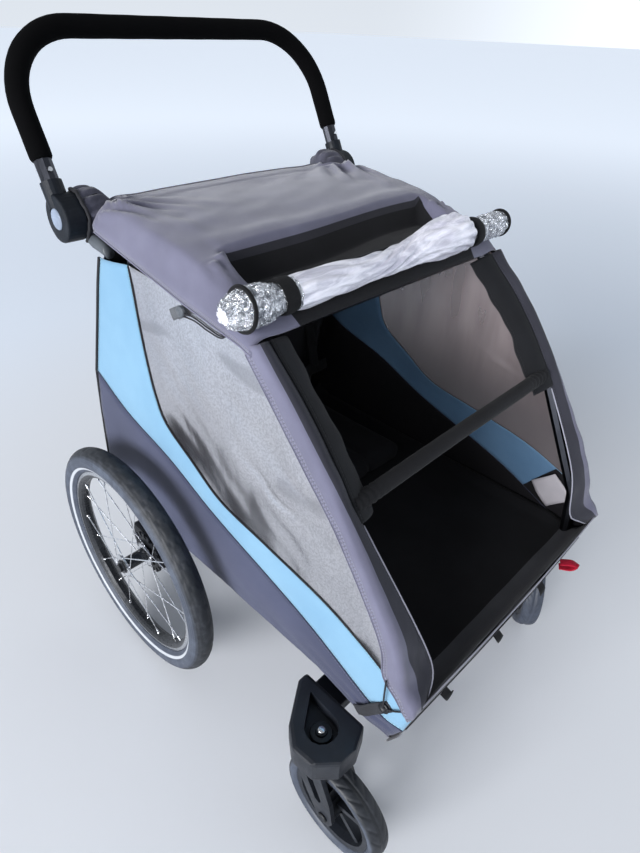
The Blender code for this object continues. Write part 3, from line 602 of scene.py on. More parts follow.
# ---- tub
FLOOR = 0.2885
HEM = 0.016  # radius of the tub's lower edge
TUB_FOLDS = (
    ((-0.6, 0.3), (-0.4, 0.345), 0.003, 0.01),
    ((-0.56, 0.29), (-0.28, 0.33), 0.0022, 0.012),
    ((-0.2, 0.3), (0.0, 0.43), 0.002, 0.016),
    ((0.17, 0.56), (0.06, 0.47), 0.002, 0.012),
    ((0.17, 0.31), (0.02, 0.4), 0.0018, 0.014),
)
count = 84
top_line = seam(TUB_SEAM, count)
bottom_line = resample(
    np.vstack(
        [
            seam([(0.18, FLOOR), (0.0, FLOOR), (-0.3, FLOOR), (-0.45, FLOOR)], 40),
            seam([(-0.45, FLOOR), (-0.52, 0.275), (-0.602, 0.256)], 20)[1:]
        ]
    ),
    count
)
profiles = []
for (ty, tz), (by, bz) in zip(top_line, bottom_line):
    half = SIDE_X * (1 - 0.025 * float(smoothstep(-ty, 0.575, 0.625)))
    right = []
    for share in np.linspace(0, 1, 13):
        right.append((half + 0.0035 * sin(pi * share), ty + (by - ty) * share, tz + (bz + HEM - tz) * share))
    for a in np.linspace(pi / 8, pi / 2, 4):
        right.append((half - HEM * (1 - cos(a)), by, bz + HEM * (1 - sin(a))))
    for k in range(1, 9):
        right.append(((half - HEM) * (1 - k / 8), by, bz - 0.0015 * sin(pi * k / 16)))
    left = [(-px, py, pz) for px, py, pz in right[:-1]]
    profiles.append(left + right[::-1])
grid = np.array(profiles)
grid[..., 1] += Y0
columns = grid.shape[1]
side_share = np.minimum(np.arange(columns), np.arange(columns)[::-1]) / 16
wall_mask = np.sin(pi * np.clip(side_share, 0, 1))[None, :]
amount = wall_mask * (0.0016 * waves(grid, 0.14, 31) + 0.0007 * waves(grid, 0.04, 32))
for a, b, depth, width in TUB_FOLDS:
    amount -= wall_mask * depth * crease(grid, (a[0] + Y0, a[1]), (b[0] + Y0, b[1]), width, (1, 2))
grid[..., 0] += np.sign(grid[..., 0]) * amount
piece("tub_shell", grid, "tub liner", thickness=0.0022, replaces=["tub"])


def bowed(profile, bow, count):
    """A wall across the object through rows (y, z, half its width), bowed back in its middle."""
    rows = []
    for y, z, half in profile:
        x = np.linspace(-half, half, count)
        rows.append(
            np.column_stack([x, np.full(count, y + Y0) + bow * np.cos(x / half * pi / 2), np.full(count, z)])
        )
    return np.array(rows)


# Rear wall of the tub and the front lip.
grid = bowed([(y, z, SIDE_X) for y, z in seam(REAR_DOWN + [(0.18, FLOOR)], 20)], 0.006, 40)
grid[..., 1] += 0.0034 * waves(grid, 0.12, 41) * np.cos(grid[..., 0] / 0.31 * pi / 2)
piece("tub_rear_wall", grid, "tub liner", thickness=0.002)

lip = seam([(-0.602, 0.256), (-0.618, 0.288), (-0.6265, 0.318), (-0.634, 0.352), (-0.6425, 0.385)], 18)
LIP_HALF = SIDE_X * 0.975
LIP_BOW = 0.004
grid = bowed([(y, z, LIP_HALF) for y, z in lip], -LIP_BOW, 61)
edge = np.cos(grid[..., 0] / LIP_HALF * pi / 2)
grid[..., 1] -= (0.0016 * waves(grid, 0.1, 42) + 0.0007 * waves(grid, 0.03, 43)) * edge
piece("front_lip", grid, "lip lip", thickness=0.002)

# Floor cloth: over the base frame's tubes, up the sides a little and up to the lip's edge.
profile = seam(
    [
        (0.12, 0.345), (0.1, 0.33), (0.04, 0.3245), (-0.2, 0.3225), (-0.42, 0.3225), (-0.53, 0.3225),
        (-0.59, 0.326), (-0.618, 0.34), (-0.632, 0.36), (-0.641, 0.3845)
    ],
    70
)
rows = []
for y, z in profile:
    half = (SIDE_X - 0.0045) * (1 - 0.025 * float(smoothstep(-y, 0.575, 0.625)))
    line = []
    for k in np.linspace(-1, 1, 61):
        edge = float(smoothstep(abs(k), 0.9, 1.0))
        sag = 0.006 * (1 - k * k) * float(smoothstep(-y, -0.06, 0.05)) * (
            1 - float(smoothstep(-y, 0.52, 0.6))
        )
        line.append((half * k, y + Y0, z - sag + edge * 0.016 * (1 - float(smoothstep(-y, 0.55, 0.62)))))
    rows.append(line)
grid = np.array(rows)
LIP_ROW = int(np.argmin(np.abs(profile[:, 0] + 0.578)))
soft = np.clip(1 - np.abs(np.linspace(-1, 1, 61))[None, :] ** 6, 0, 1)
grid[..., 2] += 0.0022 * waves(grid, 0.11, 46) * soft
piece(
    "floor_cloth", grid, "black lip", thickness=0.0016, offset=0.0,
    faces=lambda i, j: int(i > LIP_ROW),
)
for name, y, z, half, look in (
    ("lip_piping", -0.6425, 0.386, 0.287, "piping_light"),
    ("lip_fold_piping", -0.6271, 0.318, 0.285, "piping")
):
    line = [(x, y + Y0 - LIP_BOW * cos(x / 0.288 * pi / 2), z) for x in np.linspace(-half, half, 50)]
    cord(name, line, 0.0012, look)

# ---- pillar covers and rolled-back flaps
PILLAR = [
    ((-0.6385, 0.366), (-0.6455, 0.387), 0.258),
    ((-0.616, 0.392), (-0.636, 0.402), 0.236),
    ((-0.5885, 0.42), (-0.62, 0.418), 0.224),
    ((-0.573, 0.487), (-0.592, 0.497), 0.244),
    ((-0.491, 0.614), (-0.505, 0.632), 0.264),
    ((-0.4255, 0.69), (-0.448, 0.712), 0.268),
    ((-0.368, 0.756), (-0.392, 0.776), 0.268),
    ((-0.329, 0.8), (-0.352, 0.812), 0.268),
    ((-0.308, 0.823), (-0.33, 0.834), 0.268),
]
for side, sign in SIDES:
    lines = []
    for column in range(5):
        line = []
        for (ey, ez), (fy, fz), inner in PILLAR:
            line.append([
                (SIDE_X + 0.0026, ey + 0.005, ez - 0.0038),
                (SIDE_X + 0.0022, (ey + 2 * fy) / 3, (ez + 2 * fz) / 3),
                (SIDE_X - 0.003, fy + 0.0015, fz - 0.0015),
                (SIDE_X - 0.013, fy + 0.0006, fz - 0.0006),
                (inner, fy + 0.008, fz - 0.007),
            ][column])
        lines.append(seam(line, 64))
    grid = smooth_loft(lines, 22)
    grid = grid * np.array((sign, 1, 1)) + np.array((0, Y0, 0))
    down = 1 - smoothstep(grid[..., 2], 0.43, 0.56)
    amount = 0.0009 * waves(grid, 0.06, 51) + 0.0018 * down * waves(grid, 0.03, 52 + (side == "right"))
    amount[:, 0] = amount[:, -1] = 0
    grid = push(grid, amount * sign)
    # The sleeve's inner columns take the pillar cloth's painted-shade copy.
    piece(
        f"pillar_sleeve_{side}", grid, "pillar liner pillar_dark liner",
        thickness=0.0018, inner=1, faces=lambda i, j: 2 if j > 11 else 0, replaces=[f"pillar_cover_{side}"],
        flip=sign > 0
    )
    cord(f"pillar_seam_{side}", grid[1:-1, 0], 0.0011, "pillar")
    cord(f"pillar_edge_{side}", grid[:34, -1], 0.0013, "piping_light")

    strip = []
    for i, (y, z) in enumerate(seam([front for _, front, _ in PILLAR[4:]], 60)):
        share = i / 59
        sway = 0.0022 * sin(share * 15 + 0.8) + 0.0012 * sin(share * 33)
        row = []
        for j in range(13):
            k = j / 12
            across = 0.269 - k * (0.041 + 0.002 * sin(share * 8))
            lift = 0.0008 + 0.006 * sin(pi * k) ** 0.8 + sway * k - 0.02 * k
            row.append((sign * across, y + Y0 - lift * 0.75 + 0.007, z + lift * 0.66 - 0.0062))
        strip.append(row)
    grid = np.array(strip)
    piece(
        f"flap_strip_{side}", grid, "flap", thickness=0.0016, offset=0.0,
        replaces=[f"opening_flap_{side}"], flip=sign > 0
    )
    cord(f"flap_edge_{side}", grid[:, -1], 0.0013)

# ---- canopy
ROOF = [
    # y, half width, then the heights of skirt, side, shoulder and top
    (0.1, 0.255, 0.908, 0.914, 0.921, 0.924),
    (0.072, 0.257, 0.904, 0.913, 0.922, 0.9255),
    (0.056, 0.299, 0.888, 0.906, 0.921, 0.9255),
    (0.0, 0.299, 0.876, 0.899, 0.92, 0.9248),
    (-0.05, 0.299, 0.866, 0.892, 0.917, 0.923),
    (-0.1, 0.299, 0.856, 0.884, 0.912, 0.92),
    (-0.15, 0.299, 0.846, 0.874, 0.905, 0.915),
    (-0.18, 0.299, 0.84, 0.869, 0.899, 0.91),
    (-0.195, 0.299, 0.8375, 0.866, 0.895, 0.906),
    (-0.215, 0.299, 0.8345, 0.861, 0.888, 0.896),
    (-0.25, 0.299, 0.829, 0.852, 0.874, 0.879),
    (-0.298, 0.299, 0.821, 0.84, 0.856, 0.858),
    (-0.322, 0.299, 0.814, 0.826, 0.833, 0.834),
]
table = np.array(ROOF)
stations = np.concatenate([
    np.linspace(0.1, 0.056, 7)[:-1],
    np.linspace(0.056, -0.175, 40)[:-1],
    np.linspace(-0.175, -0.225, 26)[:-1],
    np.linspace(-0.225, -0.322, 20),
])
order = np.argsort(table[:, 0])


def roof_value(y, column):
    return float(np.interp(y, table[order, 0], table[order, column]))


RECESS_HALF = 0.238
rows = []
for y in stations:
    half, skirt_z, side_z, shoulder_z, top_z = (roof_value(y, c) for c in range(1, 6))
    right = [
        (0.0, top_z),
        (0.07, top_z - 0.0003),
        (0.14, top_z - 0.001),
        (half - 0.062, top_z - 0.003),
        (half - 0.03, (shoulder_z + top_z) / 2),
        (half - 0.016, shoulder_z - 0.001),
        (half - 0.004, side_z),
        (half + 0.0005, (side_z + skirt_z) / 2),
        (half - 0.001, skirt_z),
    ]
    line = resample(catmull(right), 58)
    line = np.vstack([line[:0:-1] * np.array((-1, 1)), line])
    rows.append(np.column_stack([line[:, 0], np.full(len(line), y + Y0), line[:, 1]]))
grid = np.array(rows)
x, y, z = grid[..., 0].copy(), grid[..., 1] - Y0, grid[..., 2].copy()
inside = 1 - smoothstep(np.abs(x), RECESS_HALF - 0.016, RECESS_HALF + 0.004)
drop = smoothstep(-y, 0.178, 0.204)
floor_z = 0.856 + 0.003 * np.sin(x * 14) - 0.008 * smoothstep(-y, 0.26, 0.322)
grid[..., 2] = z + inside * drop * (np.minimum(floor_z, z) - z)
EDGE_ROW = int(np.argmin(np.abs(y[:, 0] + 0.2)))
# Recess faces: a band along its rear edge takes the canopy cloth's darker copy, painted shade where the cloth
# rolls over; deeper in they take black cloth, partly the recess's own black face and partly painted shade
# where the cloth drops out of the light.
BLACK_ZONE = (np.abs(x[EDGE_ROW])[None, :] < RECESS_HALF + 0.001) & (y < -0.183)
DEEP_ZONE = y < -0.187
rolled = np.exp(-(((y + 0.166) / 0.018) ** 2)) * inside
lead = 0.014 * smoothstep(x, -0.1, 0.2) * smoothstep(-y, 0.08, 0.17) * (1 - smoothstep(-y, 0.2, 0.29))
grid[..., 2] += 0.0032 * rolled + 0.17 * lead
grid[..., 1] += lead
amount = 0.0022 * waves(grid, 0.22, 61) + 0.001 * waves(grid, 0.07, 62)
flat_part = smoothstep(-y, -0.11, -0.02) * (1 - drop * 0.6)
amount = amount * (0.35 + 0.65 * flat_part)
CANOPY_FOLDS = (
    ((0.272, 0.05), (0.205, -0.06), 0.008, 0.011),
    ((0.25, 0.07), (0.16, -0.07), 0.006, 0.013),
    ((0.235, 0.085), (0.12, -0.01), 0.0045, 0.013),
    ((0.288, 0.04), (0.25, -0.1), 0.0055, 0.009),
    ((0.262, 0.03), (0.215, -0.14), 0.0045, 0.013),
    ((0.225, 0.06), (0.08, -0.08), 0.003, 0.018),
    ((0.262, -0.205), (0.272, -0.275), 0.006, 0.008),
    ((0.244, -0.196), (0.256, -0.262), 0.007, 0.008),
)
for mirror in (-1, 1):
    for a, b, depth, width in CANOPY_FOLDS:
        amount -= 1.35 * depth * crease(grid, (mirror * a[0], a[1] + Y0), (mirror * b[0], b[1] + Y0), width)
        ridge = (mirror * (a[0] - 0.014), a[1] + Y0 + 0.004), (mirror * (b[0] - 0.02), b[1] + Y0)
        amount += 0.5 * depth * crease(grid, *ridge, width)
edge_fade = smoothstep(np.minimum(np.arange(grid.shape[1]), np.arange(grid.shape[1])[::-1]), 0, 5)[None, :]
grid = push(grid, -amount * edge_fade)
piece(
    "roof_canopy", grid, "canopy black canopy_shade liner", thickness=0.0018,
    replaces=["canopy"], flip=True,
    faces=lambda i, j: (1 if DEEP_ZONE[i, j] else 2) if BLACK_ZONE[i, j] and BLACK_ZONE[i, j + 1] else 0,
)
for name, line, radius in (
    ("skirt_binding_left", grid[6:, 0], 0.0016), ("skirt_binding_right", grid[6:, -1], 0.0016),
    ("roof_rear_piping", grid[0], 0.0018)
):
    cord(name, line, radius, "pillar")
for index, (y, rise) in enumerate(((-0.232, 0.002), (-0.246, 0.0015))):
    line = [
        (
            x, y + Y0 - 0.01 * cos(x / RECESS_HALF * 1.3) + 0.004 * index,
            0.8585 + rise + 0.006 * (x / RECESS_HALF) ** 2
        )
        for x in np.linspace(-0.225, 0.225, 50)
    ]
    cord(f"recess_piping_{index + 1}", line, 0.0026)

# Piped rings and gathered cloth round the handlebar hubs.
for side, sign in SIDES:
    ring = []
    for step in range(36):
        angle = radians(78 + 168 * step / 35)
        r = 0.0398 + 0.0008 * sin(step * 1.3)
        x = 0.2975 - 0.0015 * sin(step * 0.4)
        ring.append((sign * x, PIVOT.y + r * cos(angle), PIVOT.z + r * sin(angle)))
    cord(f"hub_piping_{side}", ring, 0.003, sides=12)
    gather = []
    for step in range(90):
        angle = radians(-12 + 262 * step / 89)
        row = []
        for j in range(26):
            k = j / 25
            x = 0.296 - 0.07 * k
            inward = float(smoothstep(k, 0.42, 1.0))
            pleat = (
                0.0026 * sin(angle * 11 + 3 * k) + 0.0015 * sin(angle * 19 + 1 + 5 * k)
            ) * sin(pi * min(1, k * 1.6)) ** 0.7
            r = 0.0388 + 0.0012 * sin(pi * min(1, k * 2.2)) + pleat - 0.012 * inward
            y, z = PIVOT.y - 0.018 * inward, PIVOT.z - 0.02 * inward
            row.append((sign * x, y + r * cos(angle), z + r * sin(angle)))
        gather.append(row)
    piece(
        f"hub_gather_{side}", np.array(gather), "gather", thickness=0.0012, offset=0.0,
        flip=sign < 0
    )

# ---- rear window wall
wall = [
    (0.1535, 0.604, 0.2935), (0.113, 0.705, 0.293), (0.078, 0.795, 0.2915), (0.057, 0.848, 0.288),
    (0.078, 0.911, 0.246)
]
grid = bowed(seam(wall, 34), 0.006, 44)
fade = np.cos(grid[..., 0] / 0.3 * pi / 2)
grid[..., 1] += (0.004 * waves(grid, 0.16, 71) + 0.0012 * waves(grid, 0.05, 72)) * fade
piece("rear_wall", grid, "tub liner", thickness=0.002, replaces=["rear_panel"], flip=True)

# ---- rolled rain cover
FOIL_FROM, ROLL_MOST = 0.205, 0.037
# Places along the roll and its radius there, then how far its middle rises.
stations = np.linspace(-0.319, 0.319, 250)
ROLL_RADII = np.array((
    (-0.319, 0.013), (-0.312, 0.02), (-0.3, 0.0245), (-0.291, 0.0265), (-0.286, 0.027), (-0.27, 0.029),
    (-0.252, 0.027), (-0.24, 0.0225), (-0.222, 0.0205), (-0.205, 0.024), (-0.18, 0.026),
    (-0.13, 0.0245), (-0.06, 0.0205), (0.0, 0.02), (0.05, 0.0225), (0.09, 0.0285), (0.125, 0.034),
    (0.165, 0.0365), (0.19, 0.033), (0.203, 0.0245), (0.212, 0.0195), (0.228, 0.0195), (0.238, 0.0215),
    (0.262, 0.0235), (0.3, 0.0235), (0.312, 0.022), (0.319, 0.0205),
))
radius = np.interp(stations, *ROLL_RADII.T)
ROLL_LIFTS = np.array((
    (-0.319, 0.0), (-0.22, -0.001), (-0.1, -0.002), (0.0, -0.003), (0.1, 0.004), (0.165, 0.009),
    (0.22, 0.0), (0.319, 0.0),
))
lift = np.interp(stations, *ROLL_LIFTS.T)
sides = 72
angles = around(sides)
X, A = np.meshgrid(stations, angles, indexing="ij")
R = np.repeat(radius[:, None], sides, axis=1)
ring_points = np.stack([X, 0.03 * np.cos(A), 0.03 * np.sin(A)], axis=-1)
foil = 1 - smoothstep(X, -0.212, -0.195) + smoothstep(X, 0.196, 0.215)
spread = smoothstep(np.abs(X - 0.165), 0.0, 0.06)
twist = A + 5.0 * X + 0.5 * np.sin(X * 22)
folds = np.abs(np.sin(3.5 * twist + 1.2 * np.sin(X * 30))) * 0.55
folds += np.abs(np.sin(6.5 * twist + 3.1 + 9 * X)) * 0.35
fan = np.abs(np.sin(6 * A + 2.0 * waves(ring_points, 0.1, 83)))
folds = folds * spread + fan * (1 - spread) * 0.7
crinkle = np.abs(waves(ring_points, 0.016, 81)) + 0.6 * np.abs(waves(ring_points, 0.008, 82))
calm = 1
for at, width, share in ((-0.222, 0.012, 0.75), (0.22, 0.012, 0.75), (-0.288, 0.006, 0.6)):
    calm = calm - share * np.exp(-(((X - at) / width) ** 2))
R = R * (1.04 - (1 - foil) * 0.24 * (1 - folds)) - foil * 0.0042 * crinkle * calm
R = np.minimum(R, ROLL_MOST)
grid = np.stack(
    [X + ROLL.x, ROLL.y + R * np.cos(A) * 1.02, ROLL.z + lift[:, None] + R * np.sin(A) * 0.98], axis=-1
)


def roll_finish():
    """The rolled film: milky where it is one loose bundle, bright and crinkled at the ends."""
    milky = Finish(
        "film_milky", Roughness=0.28, IOR=1.46, Sheen_Weight=0.1, Coat_Weight=0.5, Coat_Roughness=0.12
    )
    strand = milky.noise(46, 4, 0.65, stretch=(0.22, 1, 1), distortion=0.8)
    # Lighter and darker streaks along the loose folds in the colour: painted light and painted shade.
    painted_fold_shading = milky.ramp(strand, 0.34, 0.66)
    milky.set("Base Color", milky.mix(painted_fold_shading, (0.56, 0.55, 0.65), (0.9, 0.89, 0.97)))
    milky.set("Alpha", milky.ramp(strand, 0.3, 0.7, 0.86, 1.0))
    milky.set("Normal", milky.bump(milky.noise(90, 4, 0.6, stretch=(0.2, 1, 1), distortion=1.5), 0.004, 0.7))
    foil_look = Finish("film_crinkled", Metallic=0.92, Roughness=0.12)
    # Dark and bright spots in the foil's colour: painted reflections on its crinkles.
    spots = foil_look.ramp(foil_look.noise(95, 4, 0.6, distortion=1.2), 0.36, 0.64)
    foil_look.set("Base Color", foil_look.mix(spots, (0.34, 0.36, 0.4), (0.96, 0.97, 1.0)))
    foil_look.set("Normal", foil_look.bump(foil_look.noise(110, 5, 0.65, distortion=1.0), 0.01, 1.0))
    return [milky.material, foil_look.material]


MILKY, FOIL = roll_finish()
piece(
    "roll_film", grid, [MILKY, FOIL], wrap=True, caps=True, replaces=["rain_cover_roll"],
    faces=lambda i, j: int(abs(stations[i]) > FOIL_FROM), flip=True,
)
BAND_X = 0.221
BAND_PLACES = (-0.0105, -0.01, -0.005, 0.0, 0.005, 0.01, 0.0105)
BAND_RADII = (0.0212, 0.0228, 0.0238, 0.024, 0.0238, 0.0228, 0.0212)
END_RINGS = {"left": (0.2885, 0.0275, 0.0285), "right": (0.3165, 0.0212, 0.0215)}
for side, sign in SIDES:
    band = []
    for dx, r in zip(BAND_PLACES, BAND_RADII):
        x = ROLL.x + sign * BAND_X + dx
        band.append([
            (x + 0.0012 * sin(2 * a), ROLL.y + r * cos(a) * 1.03, ROLL.z + r * sin(a)) for a in around(48)
        ])
    piece(
        f"roll_band_{side}", np.array(band), "webbing", thickness=0.0015, wrap=True,
        replaces=[f"roll_strap_{side}"], flip=True
    )
    x, deep, high = END_RINGS[side]
    ring = [
        (ROLL.x + sign * x + 0.002 * sin(a), ROLL.y + deep * cos(a), ROLL.z + high * sin(a))
        for a in np.linspace(0, TURN * 0.98, 56)
    ]
    cord(f"roll_end_ring_{side}", ring, 0.003, "webbing", sides=10)

# ---- crossbar sleeve
bar = middle("crossbar")
half = 0.2635
xs = np.linspace(-half, half, 200)
X, A = np.meshgrid(xs, around(28), indexing="ij")
near_end = smoothstep(np.abs(X), 0.185, 0.245)
R = 0.0124 + 0.001 * near_end * np.sin(X * 520 + 1.5 * np.sin(2 * A)) + 0.0004 * np.sin(A * 3 + X * 12)
grid = np.stack([X, bar.y + R * np.cos(A), bar.z + R * np.sin(A)], axis=-1)
piece("crossbar_sleeve", grid, "black", wrap=True, caps=True, replaces=["crossbar"], flip=True)

# ---- seat
PAD_START, PAD_VOXEL, PAD_PRESSURE, PAD_FRAMES, PAD_MOST_MOVE = 0.975, 0.006, 4, 20, 0.007
CHANNEL = 0.006  # a sewn channel's depth and half width


def cushion(name, node, channels):
    """A padded slab swollen by cloth simulation, then pressed in along its sewn channels."""
    mesh = NODES[node].data.copy()
    mesh.name = name
    mesh.materials.clear()
    mesh.materials.append(M["black"])
    centre = middle(node)
    mesh.transform(Matrix.Translation(centre) @ Matrix.Scale(PAD_START, 4) @ Matrix.Translation(-centre))
    obj = linked(name, mesh)
    remesh = obj.modifiers.new("remesh", "REMESH")
    remesh.mode = "VOXEL"
    remesh.voxel_size = PAD_VOXEL
    remesh.use_smooth_shade = True
    bake(obj)
    start = np.array([v.co for v in obj.data.vertices])
    soft = obj.modifiers.new("cloth", "CLOTH")
    soft.settings.use_pressure = True
    soft.settings.uniform_pressure_force = PAD_PRESSURE
    soft.settings.effector_weights.gravity = 0
    soft.settings.quality = 4
    for number in range(1, PAD_FRAMES + 1):
        bpy.context.scene.frame_set(number)
    bake(obj)
    bpy.context.scene.frame_set(1)
    end = np.array([v.co for v in obj.data.vertices])
    move = end - start
    size = np.linalg.norm(move, axis=1, keepdims=True)
    end = start + move * np.minimum(1, PAD_MOST_MOVE / np.maximum(size, 1e-9))
    obj.data.vertices.foreach_set("co", end.ravel())
    points = np.array([v.co for v in obj.data.vertices])
    normal = np.array([v.normal for v in obj.data.vertices])
    press = np.zeros(len(points))
    for x in channels:
        press = np.maximum(press, np.exp(-(((points[:, 0] - x) / CHANNEL) ** 2)))
    points = points - normal * press[:, None] * CHANNEL
    obj.data.vertices.foreach_set("co", points.ravel())
    for face in obj.data.polygons:
        face.use_smooth = True
    rounder = obj.modifiers.new("round", "SUBSURF")
    rounder.levels = rounder.render_levels = 1
    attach(obj, "chassis")
    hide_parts(node)


def bake(obj):
    """The object's mesh as its modifiers leave it."""
    graph = bpy.context.evaluated_depsgraph_get()
    made = bpy.data.meshes.new_from_object(obj.evaluated_get(graph))
    obj.modifiers.clear()
    obj.data = made


cushion("seat_cushion", "seat_base", (-0.12, 0.0, 0.12))
cushion("seat_back_cushion", "seat_back", (-0.18, -0.06, 0.06, 0.18))

# Harness: flat straps over the seat back.
seat_front = middle("harness")
LEAN = radians(11.3)


def on_back(x, up, out):
    """A point this far up the seat back's face and proud of it."""
    return (
        x, seat_front.y + up * sin(LEAN) - out * cos(LEAN), seat_front.z + up * cos(LEAN) - out * sin(LEAN)
    )


def strap(name, points, width, normal, material="webbing", replaces=()):
    """A flat strap along points, width across, crowned a little."""
    line = resample(catmull(points), 40)
    tangent = np.gradient(line, axis=0)
    tangent /= np.linalg.norm(tangent, axis=1, keepdims=True)
    side = np.cross(tangent, np.array(normal, float))
    side /= np.linalg.norm(side, axis=1, keepdims=True)
    up = np.cross(side, tangent)
    grid = np.stack(
        [line + side * width * k + up * 0.0006 * cos(k * pi) for k in np.linspace(-0.5, 0.5, 7)], axis=1
    )
    piece(name, grid, material, thickness=0.0016, offset=0.0, replaces=replaces)


FACE = (0, -cos(LEAN), sin(LEAN))
for index, x in enumerate((-0.165, -0.075, 0.075, 0.165)):
    strap(
        f"shoulder_strap_{index + 1}",
        [
            on_back(x, -0.06, 0.01), on_back(x * 0.98, 0.06, 0.011), on_back(x * 0.96, 0.16, 0.01),
            on_back(x * 0.95, 0.225, 0.008)
        ],
        0.025, FACE, replaces=["harness"] if index == 0 else ()
    )
for index, x in enumerate((-0.12, 0.12)):
    strap(
        f"lap_strap_{index + 1}",
        [on_back(x - 0.085, -0.065, 0.007), on_back(x, -0.062, 0.012), on_back(x + 0.085, -0.065, 0.007)],
        0.025, FACE
    )
    strap(
        f"crotch_strap_{index + 1}",
        [on_back(x, -0.07, 0.013), on_back(x, -0.09, 0.02), on_back(x, -0.098, 0.04)], 0.022, FACE
    )

# ---- small trim
def disc(name, centre, axis, profile, material, sides=28, body="chassis"):
    """A turned shape: (radius, distance along the axis) rows about an axis through centre."""
    axis = Vector(axis).normalized()
    turn = np.array(axis.to_track_quat("Z", "Y").to_matrix())
    angles = around(sides)
    rows = [[(r * cos(a), r * sin(a), h) for a in angles] for r, h in profile]
    grid = np.array(rows) @ turn.T + np.array(centre)
    piece(name, grid, material, body, wrap=True, caps=True, flip=True)


# Window tab with its snap, and the elastic that runs from it under the skirt.
tab = (-SIDE_X - 0.0065, -0.174 + Y0, 0.83)
strap(
    "window_tab",
    [
        (tab[0], tab[1] + 0.024, tab[2] - 0.013), (tab[0] - 0.001, tab[1] + 0.01, tab[2] - 0.005),
        (tab[0], tab[1] - 0.003, tab[2] + 0.001)
    ],
    0.017, (-1, 0, 0), "webbing_grey"
)
disc(
    "window_snap", tab, (-1, 0, 0),
    [(0.008, -0.002), (0.0088, 0.001), (0.008, 0.0028), (0.005, 0.0034), (0.0046, 0.0028), (0.001, 0.0026)],
    "end_piece"
)
ELASTICS = {}
for index, drop in enumerate((0.0, 0.0045)):
    elastic = seam(
        [
            (tab[0], tab[1] - 0.006, tab[2] - 0.001 - drop), (-SIDE_X - 0.0056, -0.205 + Y0, 0.83 - drop),
            (-SIDE_X - 0.005, -0.235 + Y0, 0.825 - drop),
            (-SIDE_X - 0.0044, -0.262 + Y0, 0.8225 - 0.6 * drop), (-SIDE_X + 0.001, -0.272 + Y0, 0.829)
        ],
        40
    )
    ELASTICS[cord(f"window_elastic_{index + 1}", elastic, 0.0011)] = elastic

# Rear corner end pieces, where the roof cloth clips to the side panel.
for side, sign in SIDES:
    grid = []
    for y, z, half in (
        (0.03, 0.858, 0.008), (0.036, 0.862, 0.0105), (0.056, 0.866, 0.0115), (0.074, 0.868, 0.0115),
        (0.079, 0.868, 0.008)
    ):
        grid.append(
            [
                (sign * (SIDE_X - 0.004 + 0.0085 * cos(a)), y + Y0, z + half * sin(a))
                for a in around(20)
            ]
        )
    piece(
        f"corner_end_{side}", np.array(grid), "end_piece", wrap=True, caps=True,
        flip=sign > 0
    )

# Front corner strap with its eyelet and elastic.
strap(
    "corner_strap",
    [
        (-0.303, -0.548 + Y0, 0.298), (-0.304, -0.562 + Y0, 0.311), (-0.3036, -0.58 + Y0, 0.337),
        (-0.3, -0.599 + Y0, 0.36), (-0.2975, -0.604 + Y0, 0.3655)
    ],
    0.018, (-1, 0, 0), "webbing_charcoal", replaces=["corner_hook"]
)
eyelet = (-0.3022, -0.596 + Y0, 0.357)
disc(
    "corner_eyelet", eyelet, (-1, 0, 0.1),
    [
        (0.0045, -0.001), (0.0088, -0.001), (0.0094, 0.0008), (0.008, 0.0024), (0.0052, 0.002),
        (0.0034, 0.0002)
    ],
    "black_plastic"
)
for index, (bend, end) in enumerate(
    (((-0.305, -0.595, 0.39), (-0.302, -0.593, 0.419)), ((-0.301, -0.611, 0.365), (-0.293, -0.63, 0.376)))
):
    elastic = seam(
        [
            (eyelet[0] - 0.0022, eyelet[1], eyelet[2] + 0.002), (bend[0], bend[1] + Y0, bend[2]),
            (end[0], end[1] + Y0, end[2])
        ],
        24
    )
    ELASTICS[cord(f"corner_elastic_{index + 1}", elastic, 0.0014)] = elastic

# Strap ends under the front edge, the red pull loop and a blank tag.
for index, (x, length) in enumerate(((-0.19, 0.024), (-0.035, 0.03), (0.12, 0.034))):
    y = -0.6265 + Y0 - 0.006
    strap(
        f"front_strap_{index + 1}",
        [
            (x, y + 0.004, 0.312), (x + 0.006, y - 0.004, 0.312 - length * 0.5),
            (x + 0.018, y - 0.002, 0.312 - length)
        ],
        0.016, (0, -1, 0)
    )
loop = seam(
    [
        (0.212, -0.628 + Y0, 0.3), (0.222, -0.644 + Y0, 0.303), (0.229, -0.652 + Y0, 0.299),
        (0.222, -0.646 + Y0, 0.291), (0.212, -0.628 + Y0, 0.289)
    ],
    30
)
strap("red_loop", loop, 0.017, (0, 0, 1), "webbing_red")


def paper_finish():
    f = Finish("tag_blank", Roughness=0.6)
    f.set("Base Color", f.mix(f.noise(40, 4), (0.34, 0.32, 0.35), (0.44, 0.42, 0.45)))
    f.set("Normal", f.bump(f.noise(300, 3), 0.0004, 0.3))
    return f.material


tag = []
for i in range(10):
    k = i / 9 - 0.5
    for m in np.linspace(-0.5, 0.5, 10):
        x = SIDE_X - 0.006 - 0.0025 * sin(5 * k + 3 * m)
        tag.append((x, -0.545 + 0.044 * (k + m) + Y0, 0.389 + 0.044 * (k - m)))
tag = np.array(tag).reshape(10, 10, 3)
piece("window_tag", tag, [paper_finish()], thickness=0.0008, offset=0.0)

# ---- handlebar grip
def rounded(points, radius, steps=14):
    points = [Vector(p) for p in points]
    path = [points[0]]
    for before, corner, after in zip(points, points[1:], points[2:]):
        back, ahead = (before - corner).normalized(), (after - corner).normalized()
        half = back.angle(ahead) / 2
        centre = corner + (back + ahead).normalized() * radius / sin(half)
        first = corner + back * (radius / tan(half)) - centre
        axis = first.cross(corner + ahead * (radius / tan(half)) - centre).normalized()
        for step in range(steps + 1):
            path.append(centre + Matrix.Rotation((pi - 2 * half) * step / steps, 3, axis) @ first)
    return path + [points[-1]]


TILT = radians(26)
ARM_X = 0.318


def on_arm(distance, x):
    return Vector((x, PIVOT.y + distance * sin(TILT), PIVOT.z + distance * cos(TILT)))


